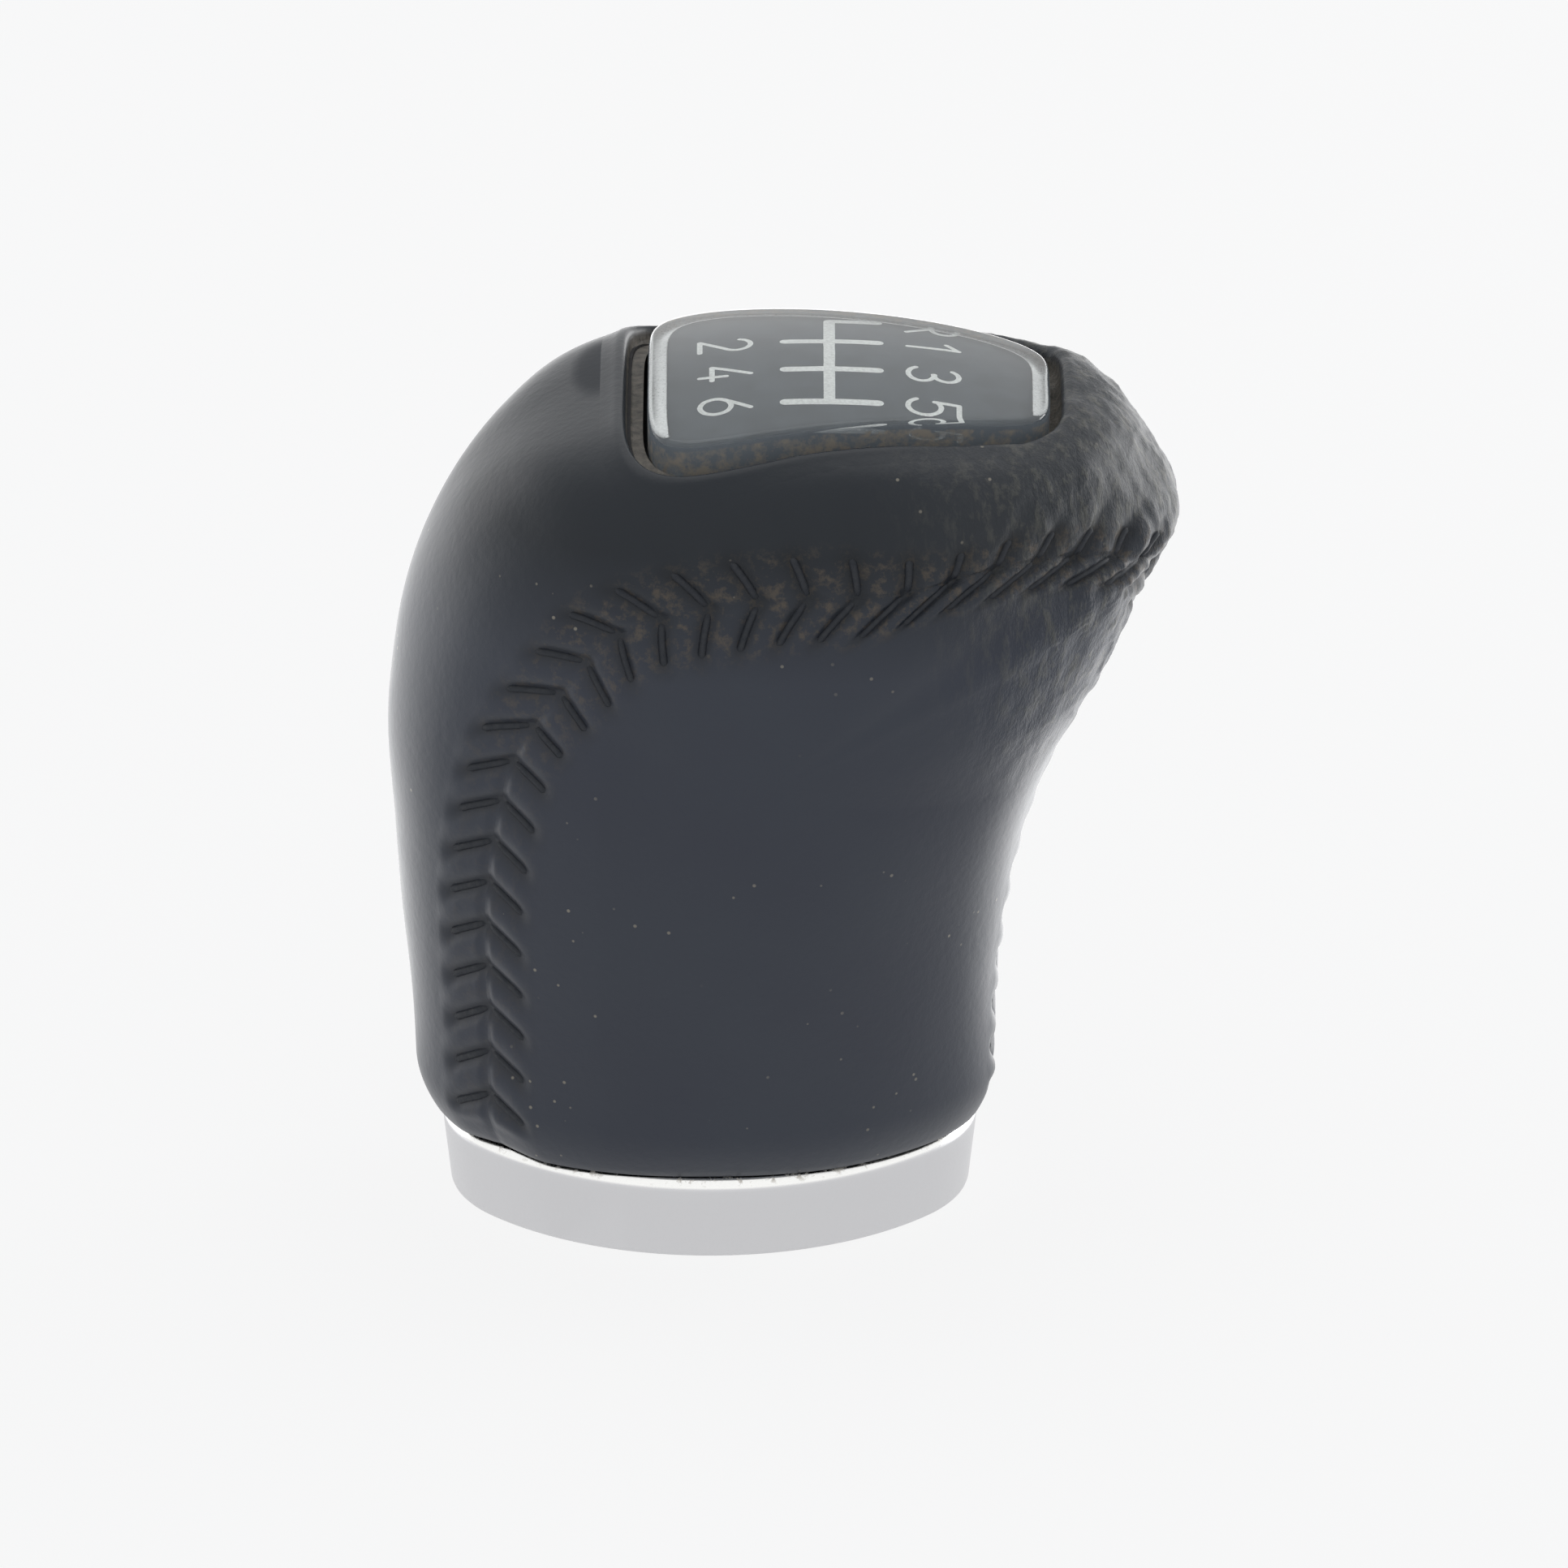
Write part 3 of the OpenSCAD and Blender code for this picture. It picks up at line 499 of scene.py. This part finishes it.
# Clear cast acrylic, thick enough to bend what is seen at its edge. Its side walls
# carry a grey film that makes them read darker, with brown dirt in it where they lie deepest.
acrylic, tree, shader = material("clear_acrylic", IOR=1.49, Roughness=0.03, Transmission_Weight=1.0)
shader.inputs["Base Color"].default_value = srgb("F4F8F8")
lamps = add(tree, "LightPath").outputs["Is Shadow Ray"]
clear = add(tree, "BsdfTransparent", {"Color": srgb("F0F4F4")})
mixed = add(tree, "MixShader", {0: lamps, 1: shader.outputs[0], 2: clear.outputs[0]})
where = add(tree, "TexCoord").outputs["Object"]
wall_film = add(tree, "Attribute", attribute_name="wall_film").outputs["Fac"]
dust = ramp(tree, grain(1.6, 5.0, 0.7, where), 0.44, 0.60)
deep = times(ramp(tree, wall_film, 0.95, 1.0), dust)
film_colour = mix(deep, srgb("858B90"), srgb("A9A195"))
grey = add(tree, "BsdfDiffuse", {"Color": film_colour, "Roughness": 1.0})
film = times(wall_film, ramp(tree, dust, 0.0, 1.0, 0.88, 1.0))
mixed = add(tree, "MixShader", {0: film, 1: mixed.outputs[0], 2: grey.outputs[0]})
tree.links.new(mixed.outputs[0], tree.nodes["Material Output"].inputs["Surface"])

# ---------------------------------------------------------------- leather
COLUMN, ROW, DENSE, PANEL_REST, STRIP_REST = 0.30, 0.24, 26, 44, 26
whole_run = table_run[-1]
strip_run = float(np.interp(STRIP_END, table_t, table_run))
side_length = table_length[:, -1] - table_seam


def spread_rows(rows, rest, room):
    """Distance from the seam of each row: DENSE close rows, then rest wider ones."""
    near = np.minimum(DENSE * ROW, 0.7 * room)
    close = np.minimum(rows * (DENSE + rest), DENSE) / DENSE
    wide = np.clip(rows * (DENSE + rest) - DENSE, 0, rest) / rest
    return near * close + (room - near) * wide


def panel_off(run, v):
    """Distance from the seam of a side panel's rows, towards the side's middle."""
    return spread_rows(v, PANEL_REST, np.interp(run, table_run, side_length))


def strip_off(run, v):
    """Distance from the seam of the strip's rows, towards the middle plane."""
    return -spread_rows(v, STRIP_REST, np.interp(run, table_run, table_seam))


def leather_panel(side):
    """The leather of one side of the knob, from its seam to the side's middle."""
    bm = leather_piece(
        side, lambda u: u * whole_run, lambda u, v: panel_off(u * whole_run, v),
        round(whole_run / COLUMN), DENSE + PANEL_REST,
    )
    carve(bm)
    return bm


right = finished(leather_panel(1), "leather_panel_right", leather)
left = finished(leather_panel(-1), "leather_panel_left", leather)
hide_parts("leather_right")
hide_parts("leather_left")

# The strip is two halves that are welded along the middle plane
strip = bmesh.new()
for side in (1, -1):
    half = leather_piece(
        side, lambda u: u * strip_run, lambda u, v: strip_off(u * strip_run, v),
        round(strip_run / COLUMN), DENSE + STRIP_REST,
    )
    spare = bpy.data.meshes.new("half")
    half.to_mesh(spare)
    half.free()
    strip.from_mesh(spare)
    bpy.data.meshes.remove(spare)
bmesh.ops.remove_doubles(strip, verts=strip.verts, dist=1e-6)
carve(strip)
strip.normal_update()
crown = BVHTree.FromBMesh(strip)

# ---------------------------------------------------------------- badge
DOME_R, DOME_X, DOME_Z = 80.0, 9.7, 80.5
LENS_T, PLATE_T, FRAME_END_W, FRAME_SIDE_W = 3.4, 0.6, 2.1, 0.8
POCKET_GAP, POCKET_SIDE, POCKET_BACK = 1.45, 0.5, 0.45
POCKET_DIRT = (0.3, 1.4)  # depth under the strip at which the pocket gets dirty
STRIP_CUT = 1.5  # how far outside the pocket's wall the strip is cut away
FILM_FROM, FILM_FULL = 0.1, 0.6  # depth under the dome at which the lens's walls get their grey film
INSIDE_BORDER = -1.5
ABOVE = 0.2  # metres: a height clear of the knob, from which points are dropped on it
AROUND = 288


def badge_edge(turn, grow, side_grow=None):
    """The badge's outline at a share of the way round, grown by grow at its ends
    and by side_grow, or else as much, at its sides."""
    c, s = math.cos(2 * math.pi * turn), math.sin(2 * math.pi * turn)
    x = (BADGE_HALF_L + grow) * math.copysign(abs(c) ** (2 / CORNER_POWER), c)
    half = BADGE_HALF_W + (grow if side_grow is None else side_grow)
    half = half - BADGE_NARROWING * x - BADGE_BOW * x * x
    return BADGE_X + x, half * math.copysign(abs(s) ** (2 / CORNER_POWER), s)


def in_pocket(x, y, grow):
    """True inside the pocket's outline, which is the badge's, grown."""
    x = x - BADGE_X
    half = BADGE_HALF_W + POCKET_SIDE + grow - BADGE_NARROWING * x - BADGE_BOW * x * x
    return abs(x / (BADGE_HALF_L + grow)) ** CORNER_POWER + abs(y / half) ** CORNER_POWER < 1


def dome(x, y):
    """Height of the badge's crowned face."""
    return DOME_Z - DOME_R + math.sqrt(DOME_R**2 - (x - DOME_X) ** 2 - y * y)


def even_turns(count):
    """Shares of the way round the badge that are evenly spaced along its edge."""
    turn = np.linspace(0, 1, 4001)
    edge = np.array([badge_edge(t, 0) for t in turn])
    run = np.concatenate([[0], np.cumsum(np.linalg.norm(np.diff(edge, axis=0), axis=1))])
    return np.interp(np.linspace(0, run[-1], count + 1), run, turn)


TURNS = even_turns(AROUND)


def wrapped(rows, place, turns=TURNS):
    """A shell round a closed outline: each of its rows is placed at every turn."""
    bm, u, v = grid(len(turns) - 1, len(rows) - 1)
    u = np.rint(u * (len(turns) - 1)).astype(int)
    v = np.rint(v * (len(rows) - 1)).astype(int)
    move_to(bm, [place(turns[i], rows[j]) for i, j in zip(u, v)])
    bmesh.ops.remove_doubles(bm, verts=bm.verts, dist=1e-6)
    return bm


def badge_place(turn, row):
    """Row: share of the way out from the badge's middle, growth, depth under the dome."""
    share, grow, depth = row
    side = grow + FRAME_END_W - FRAME_SIDE_W if grow <= INSIDE_BORDER else grow
    x, y = badge_edge(turn, grow, side)
    x, y = BADGE_X + (x - BADGE_X) * share, y * share
    return x, y, dome(x, y) - depth


def badge_piece(name, finish, rows):
    """A piece of the badge, with a note of how deep its walls lie under the dome, which sets their
    grey film.
    """
    bm = wrapped(rows, badge_place)
    bmesh.ops.recalc_face_normals(bm, faces=bm.faces)
    layer = bm.verts.layers.float.new("wall_film")
    for v in bm.verts:
        x, y, z = v.co / MM
        v[layer] = float(smooth(FILM_FROM, FILM_FULL, dome(x, y) - z))
    return finished(bm, name, finish)


TOP = [(s, -0.48, 0.0) for s in (0.97, 0.93, 0.86, 0.76, 0.64, 0.5, 0.34, 0.17, 0.0)]
UNDER = LENS_T + PLATE_T
LENS_EDGE = [
    (1, -0.03, UNDER - 0.05), (1, 0, UNDER - 0.1), (1, 0, 3.0), (1, 0, 2.5), (1, 0, 2.1),
    (1, 0, 1.7), (1, 0, 1.3), (1, 0, 0.9), (1, 0, 0.5), (1, -0.02, 0.36), (1, -0.06, 0.24),
    (1, -0.13, 0.14), (1, -0.22, 0.07), (1, -0.34, 0.02), (1, -0.48, 0.0),
]
LENS_UNDER = [(0, 0, UNDER - 0.05), (0.5, 0, UNDER - 0.05)]
lens = badge_piece("badge_lens_clear", acrylic, LENS_UNDER + LENS_EDGE + TOP)
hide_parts("badge_lens")
inner = -FRAME_END_W
disc = [
    (0, inner, UNDER), (1, inner, UNDER), (1, inner, LENS_T + 0.02), (1, inner - 0.04, LENS_T),
]
disc += [(s, inner, LENS_T) for s in (0.9, 0.75, 0.55, 0.35, 0.15, 0.0)]
plate = badge_piece("badge_plate_printed", plate_print, disc)
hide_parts("badge_plate")
rim = [
    (1, -0.06, UNDER), (1, -0.06, LENS_T + 0.08), (1, -0.10, LENS_T + 0.02),
    (1, -0.16, LENS_T - 0.02), (1, inner + 0.1, LENS_T - 0.02), (1, inner + 0.03, LENS_T),
    (1, inner, LENS_T + 0.06), (1, inner, UNDER), (1, -0.06, UNDER),
]
border = badge_piece("badge_border", foil, rim)
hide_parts("badge_frame")

# The leather's turned edge round the pocket: distance outside the wall, rise
POCKET = [
    (2.8, -0.06), (2.5, -0.02), (2.2, 0.02), (1.9, 0.04), (1.6, 0.08), (1.35, 0.13),
    (1.1, 0.20), (0.9, 0.22), (0.7, 0.19), (0.52, 0.14), (0.36, 0.05), (0.22, -0.10),
    (0.11, -0.30), (0.03, -0.58), (0.0, -0.9), (-0.02, -1.3), (-0.12, -1.7), (-0.35, -2.0),
    (-0.7, -2.15), (-1.1, -2.2), (-1.5, -2.25),
]


def crown_at(x, y):
    """Height of the leather strip, in metres, over a place given in metres."""
    return crown.ray_cast(Vector((x, y, ABOVE)), Vector((0, 0, -1)))[0].z


def pocket_place(turn, row):
    """Row: distance outside the pocket's wall, rise over the leather strip."""
    x, y = badge_edge(turn, POCKET_GAP + row[0], POCKET_GAP + POCKET_SIDE + row[0])
    x -= POCKET_BACK
    return x, y, crown_at(x * MM, y * MM) / MM + row[1]


pocket = wrapped(POCKET, pocket_place)
turn_outwards(pocket, (BADGE_X, 0, CROWN_Z))
dirt_layer = pocket.verts.layers.float.new("pocket")
wear_layer = pocket.verts.layers.float.new("wear")
for v in pocket.verts:
    x, y, z = v.co / MM
    depth = crown_at(v.co.x, v.co.y) - v.co.z
    v[dirt_layer] = float(smooth(*POCKET_DIRT, depth / MM))
    v[wear_layer] = float(nose_wear(np.array([[x, y, z]]))[0])
pocket_edge = finished(pocket, "leather_pocket_edge", leather)

loose = []
for face in strip.faces:
    x, y, z = face.calc_center_median() / MM
    if z > CROWN_Z and in_pocket(x + POCKET_BACK, y, POCKET_GAP + STRIP_CUT):
        loose.append(face)
bmesh.ops.delete(strip, geom=loose, context="FACES")
strip_skin = finished(strip, "leather_crown_strip", leather)
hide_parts("leather_strip")

# ---------------------------------------------------------------- threads
# Along a leg of a stitch, from its hole to the seam's slit: the share of its reach,
# and how far it sinks into the leather
LEG_SHARES = np.array([1.06, 1.0, 0.9, 0.75, 0.6, 0.45, 0.3, 0.16, 0.05])
LEG_SINK = 0.10 + np.array([1.0, 0.35, 0, 0, 0, 0, 0, 0.1, 0.7])
NEAR = 0.1  # millimetres between a point and its neighbours on the surface


def stitch_paths(first, last, side, hands=(1, -1)):
    """Paths of the legs of one row's stitches: hands are the sides of the seam that
    they lie on, and side is the knob's."""
    paths = []
    for k in range(int((last - first) / STITCH_PITCH) + 1):
        for hand in hands:
            off = hand * LEG_SHARES * STITCH_REACH
            run = first + k * STITCH_PITCH + STITCH_LEAN * (1 - LEG_SHARES)
            points = on_grip(run, off)
            ahead = on_grip(run + NEAR, off)
            aside = on_grip(run, off + NEAR)
            out = np.cross(ahead - points, aside - points)
            out /= np.linalg.norm(out, axis=1)[:, None]
            out *= np.sign((out * (points - INSIDE)).sum(axis=1))[:, None]
            lift = relief(points, run, off) - LEG_SINK
            paths.append((points + out * lift[:, None]) * [1, side, 1])
    return paths


def thread_piece(name, paths, replaced):
    """Threads swept along their paths, as one mesh."""
    curve = bpy.data.curves.new(name, "CURVE")
    curve.dimensions = "3D"
    curve.bevel_depth = THREAD_R * MM
    curve.bevel_resolution = 2
    curve.use_fill_caps = True
    for path in paths:
        spline = curve.splines.new("POLY")
        spline.points.add(len(path) - 1)
        for point, p in zip(spline.points, path):
            point.co = (*(Vector(p) * MM), 1)
    holder = bpy.data.objects.new("thread", curve)
    bpy.context.scene.collection.objects.link(holder)
    shown = holder.evaluated_get(bpy.context.evaluated_depsgraph_get())
    mesh = bpy.data.meshes.new_from_object(shown)
    bpy.data.objects.remove(holder)
    bpy.data.curves.remove(curve)
    bm = bmesh.new()
    bm.from_mesh(mesh)
    bpy.data.meshes.remove(mesh)
    made = finished(bm, name, thread)
    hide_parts(replaced)
    return made


thread_piece("thread_right", stitch_paths(side_first, side_last, 1), "seam_thread_right")
thread_piece("thread_left", stitch_paths(side_first, side_last, -1), "seam_thread_left")
# The front seam's two legs mirror each other across the middle plane
front_legs = stitch_paths(front_first, front_last, 1, hands=(1,))
front_paths = [path for leg in front_legs for path in (leg, leg * [1, -1, 1])]
thread_piece("thread_front", front_paths, "seam_thread_front")

# ---------------------------------------------------------------- foot ring
RING_HALF_L, RING_HALF_W, RING_END_R, RING_H = 24.15, 18.1, 13.5, 7.9
RING_TAPER, RING_WALL, RING_LIP, RING_LIP_T = 0.75, 2.4, 2.6, 1.6
POLISH_AND_HIGHLIGHT_Z, DUSTY_Z = (7.0, 7.15), (7.25, 7.85)
end_x = RING_HALF_L - RING_END_R
side_y = (end_x**2 - (RING_HALF_W - RING_END_R) ** 2) / (2 * (RING_HALF_W - RING_END_R))
side_r = RING_HALF_W + side_y
join = math.atan2(side_y, end_x)


def oval(turn, grow):
    """A point of the ring's oval, which is four arcs, at a share of the way round."""
    q = 2 * math.pi * turn
    sx, sy = math.copysign(1, math.cos(q)), math.copysign(1, math.sin(q))
    a = math.atan2(abs(math.sin(q)), abs(math.cos(q)))
    if a < join:
        r = RING_END_R + grow
        return sx * (end_x + r * math.cos(a)), sy * r * math.sin(a)
    return sx * (side_r + grow) * math.cos(a), sy * ((side_r + grow) * math.sin(a) - side_y)


# The ring's section, outside first: distance outside the oval, height
RING_INSIDE, LIP_EDGE = -RING_TAPER - RING_WALL, -RING_WALL - RING_LIP
RING = [
    (RING_INSIDE, 0.5), (RING_INSIDE + 0.35, 0.0), (-RING_TAPER - 0.6, 0.0),
    (-RING_TAPER - 0.28, 0.09), (-RING_TAPER - 0.08, 0.3), (-RING_TAPER * 0.95, 0.62),
    (-RING_TAPER * 0.6, 3.0), (-RING_TAPER * 0.2, 5.6), (-0.03, 6.75), (-0.07, 7.0),
    (-0.17, 7.17), (-0.62, 7.62), (-0.76, 7.78), (-0.95, 7.86), (-1.2, RING_H),
    (LIP_EDGE, RING_H), (LIP_EDGE, RING_H - RING_LIP_T), (RING_INSIDE, RING_H - RING_LIP_T),
    (RING_INSIDE, 0.5),
]
turns = np.linspace(0, 1, AROUND + 1)
ring = wrapped(RING, lambda turn, row: (*oval(turn, row[0]), row[1]), turns)
bmesh.ops.recalc_face_normals(ring, faces=ring.faces)
# The bevel is smoother and its colour is painted brighter as a highlight, and dust lies along the
# leather above it
polish_and_highlight_layer = ring.verts.layers.float.new("polish_and_highlight")
dusty_layer = ring.verts.layers.float.new("dusty")
for v in ring.verts:
    z = v.co.z / MM
    v[polish_and_highlight_layer] = float(smooth(*POLISH_AND_HIGHLIGHT_Z, z))
    v[dusty_layer] = float(smooth(*DUSTY_Z, z))
foot_ring = finished(ring, "foot_ring_satin", satin)
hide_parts("base_ring")

# ---------------------------------------------------------------- shift pattern
PRINT_DEPTH, PRINT_SHIFT = LENS_T - 0.03, -0.3
BAR_W, STROKE_W = 1.0, 0.48
LAYER = 0.004  # how much higher each stroke lies than the one before it
ALONG, ROUND = 25, 7  # points along a stroke, and round each of its ends


def ribbon(bm, path, width, lift):
    """A flat stroke with round ends along a path in millimetres, laid on the plate."""
    path = np.array(path, dtype=float)
    run = np.concatenate([[0], np.cumsum(np.linalg.norm(np.diff(path, axis=0), axis=1))])
    turn = np.radians(np.linspace(0, 90, ROUND))
    r = width / 2
    middle = np.linspace(0, run[-1], ALONG)
    at = np.concatenate([-r * np.cos(turn[:-1]), middle, run[-1] + r * np.sin(turn[1:])])
    half = np.concatenate([r * np.sin(turn[:-1]), np.full(ALONG, r), r * np.cos(turn[1:])])
    flat, u, v = grid(len(at) - 1, 1)
    first = (path[1] - path[0]) / np.linalg.norm(path[1] - path[0])
    last = (path[-1] - path[-2]) / np.linalg.norm(path[-1] - path[-2])

    def place(d):
        """The point at a length along the path, which runs on straight past its ends."""
        if d < 0:
            return path[0] + d * first
        if d > run[-1]:
            return path[-1] + (d - run[-1]) * last
        return np.array([np.interp(d, run, path[:, k]) for k in (0, 1)])

    for vert, a, b in zip(flat.verts, u, v):
        i = round(a * (len(at) - 1))
        d = at[i]
        ahead = place(d + 0.05) - place(d - 0.05)
        side = np.array([-ahead[1], ahead[0]]) / np.linalg.norm(ahead)
        x, y = place(d) + side * half[i] * (2 * b - 1)
        vert.co = Vector((x, y, dome(x, y) - PRINT_DEPTH + lift)) * MM
    flat.normal_update()
    if sum(f.normal.z for f in flat.faces) < 0:
        bmesh.ops.reverse_faces(flat, faces=flat.faces)
    spare = bpy.data.meshes.new("stroke")
    flat.to_mesh(spare)
    flat.free()
    bm.from_mesh(spare)
    bpy.data.meshes.remove(spare)


def arc(x, y, rx, ry, start, end):
    """Points on part of an ellipse, between two angles in degrees."""
    turn = np.radians(np.linspace(start, end, 17))
    return list(zip(x + rx * np.cos(turn), y + ry * np.sin(turn)))


# Strokes of each character in a box one wide and one high
STROKES = {
    "1": [[(0.12, 0.76), (0.56, 1.0)], [(0.56, 1.0), (0.56, 0.0)]],
    "2": [arc(0.5, 0.72, 0.48, 0.28, 165, -35) + [(0.03, 0.0)], [(0.03, 0.0), (1.0, 0.0)]],
    "3": [arc(0.46, 0.75, 0.44, 0.25, 150, -90), arc(0.46, 0.26, 0.52, 0.26, 90, -155)],
    "4": [[(0.66, 1.0), (0.0, 0.24)], [(0.0, 0.24), (1.0, 0.24)], [(0.74, 0.52), (0.74, 0.0)]],
    "5": [[(0.92, 1.0), (0.16, 1.0)], [(0.16, 1.0), (0.1, 0.52)],
          arc(0.45, 0.32, 0.53, 0.33, 130, -150)],
    "6": [arc(0.5, 0.31, 0.5, 0.31, 0, 360), [(0.70, 1.0), (0.30, 0.66), (0.04, 0.42)]],
    "R": [[(0.02, 0.0), (0.02, 1.0)],
          [(0.02, 1.0), (0.5, 1.0)] + arc(0.5, 0.74, 0.46, 0.26, 85, -90) + [(0.02, 0.48)],
          [(0.5, 0.48), (1.0, 0.0)]],
}
GATE_Y = (6.25, 0.0, -6.25)  # the three gates, from the far one to the near one
REAR_X, FRONT_X, REVERSE_X = 1.7, 19.7, 19.6
REVERSE_Y, REVERSE_GATE_Y = 11.2, 11.7
GATE_X, GATE_FROM, GATE_TO, REVERSE_TO = 10.7, 6.9, 14.9, 14.8
CHARACTER_H, CHARACTER_W = 4.4, 2.7
# Each character and the middle of its place on the plate
CHARACTERS = [(text, REAR_X, y) for text, y in zip("246", GATE_Y)]
CHARACTERS += [("R", REVERSE_X, REVERSE_Y)]
CHARACTERS += [(text, FRONT_X, y) for text, y in zip("135", GATE_Y)]

pattern = bmesh.new()
gate_lines = [[(GATE_FROM, y), (GATE_TO, y)] for y in GATE_Y]
gate_lines += [[(GATE_X, REVERSE_GATE_Y), (REVERSE_TO, REVERSE_GATE_Y)]]
gate_lines += [[(GATE_X, REVERSE_GATE_Y), (GATE_X, GATE_Y[-1])]]
for i, line in enumerate(gate_lines):
    ribbon(pattern, [(x, y + PRINT_SHIFT) for x, y in line], BAR_W, LAYER * i)
finished(pattern, "badge_gate_lines", white_print, False)

digits = bmesh.new()
for text, x, y in CHARACTERS:
    for i, stroke in enumerate(STROKES[text]):
        path = [
            (x + (up - 0.5) * CHARACTER_H, y + PRINT_SHIFT - (across - 0.5) * CHARACTER_W)
            for across, up in stroke
        ]
        ribbon(digits, path, STROKE_W, LAYER * i)
finished(digits, "badge_numbers", white_print, False)

# ---------------------------------------------------------------- stage
FLOOR_HALF = 4  # metres
floor_bm = bmesh.new()
bmesh.ops.create_grid(floor_bm, x_segments=1, y_segments=1, size=FLOOR_HALF)
floor_mesh = bpy.data.meshes.new("floor")
floor_bm.to_mesh(floor_mesh)
floor_bm.free()
floor = bpy.data.objects.new("floor", floor_mesh)
bpy.context.scene.collection.objects.link(floor)


def seen(tree):
    """1 for what the camera, a gloss or a clear piece sees directly."""
    path = add(tree, "LightPath").outputs
    seen_by = path["Is Camera Ray"]
    for kind in ("Is Glossy Ray", "Is Transmission Ray"):
        seen_by = add(tree, "Math", {0: path[kind], 1: seen_by}, operation="MAXIMUM").outputs[0]
    return seen_by


# White paper that a gloss sees brighter behind the knob, as a studio's rear lamps
# light it, which glazes the knob's edges
paper, tree, shader = material("white_paper", Roughness=0.9)
shader.inputs["Base Color"].default_value = srgb("E8E8E8")
place = add(tree, "SeparateXYZ", {"Vector": add(tree, "TexCoord").outputs["Object"]}).outputs
behind, ahead = place["Y"], ramp(tree, place["X"], -0.1, 0.1, 0.6, 1.4)
rays = add(tree, "LightPath").outputs
far_off = ramp(tree, rays["Ray Length"], 0.02, 0.05)
glare = times(ramp(tree, behind, 0.0, 0.05), times(rays["Is Glossy Ray"], far_off))
glare = times(glare, ahead)
white = add(tree, "Emission", {"Color": (1, 1, 1, 1), "Strength": plus(1.0, times(glare, 2.05))})
share = add(tree, "Math", {0: seen(tree), 1: 0.85}, operation="MULTIPLY").outputs[0]
mixed = add(tree, "MixShader", {0: share, 1: shader.outputs[0], 2: white.outputs[0]})
tree.links.new(mixed.outputs[0], tree.nodes["Material Output"].inputs["Surface"])
floor_mesh.materials.append(paper)

world = bpy.data.worlds.new("studio")
bpy.context.scene.world = world
world.use_nodes = True
tree = world.node_tree
tree.nodes.clear()
fill = add(tree, "Background", {"Color": (0.92, 0.95, 1.0, 1), "Strength": 0.55})
back = add(tree, "Background", {"Color": (1, 1, 1, 1), "Strength": 1.0})
mixed = add(tree, "MixShader", {0: seen(tree), 1: fill.outputs[0], 2: back.outputs[0]})
out = tree.nodes.new("ShaderNodeOutputWorld")
tree.links.new(mixed.outputs[0], out.inputs["Surface"])


def softbox(name, place, target, size, radiance, colour=(1, 1, 1)):
    """A square area lamp whose face has the given radiance."""
    lamp = bpy.data.lights.new(name, "AREA")
    lamp.shape = "RECTANGLE"
    lamp.size, lamp.size_y = size
    lamp.energy = radiance * math.pi * size[0] * size[1]
    lamp.color = colour
    made = bpy.data.objects.new(name, lamp)
    made.location = place
    made.rotation_euler = (Vector(target) - Vector(place)).to_track_quat("-Z", "Y").to_euler()
    bpy.context.scene.collection.objects.link(made)


CENTRE = (0.0067, 0.0, 0.0388)
softbox("overhead", (0.0, 0.15, 0.75), CENTRE, (0.6, 0.6), 0.7)
softbox("left_rear", (-0.60, 0.42, 0.10), CENTRE, (0.35, 0.45), 0.5, (1.0, 0.96, 0.98))
softbox("right_rear", (0.62, 0.36, 0.10), CENTRE, (0.3, 0.45), 4.5)

ELEVATION, DISTANCE, LENS = math.radians(24), 1.6, 409.5
camera_data = bpy.data.cameras.new("camera")
camera_data.sensor_width = 36
camera_data.lens = LENS
camera_data.clip_end = 20
camera = bpy.data.objects.new("camera", camera_data)
bpy.context.scene.collection.objects.link(camera)
away = Vector((0, -math.cos(ELEVATION), math.sin(ELEVATION)))
camera.location = Vector(CENTRE) + DISTANCE * away
camera.rotation_euler = (math.pi / 2 - ELEVATION, 0, 0)
bpy.context.scene.camera = camera
bpy.context.scene.view_settings.view_transform = "Standard"
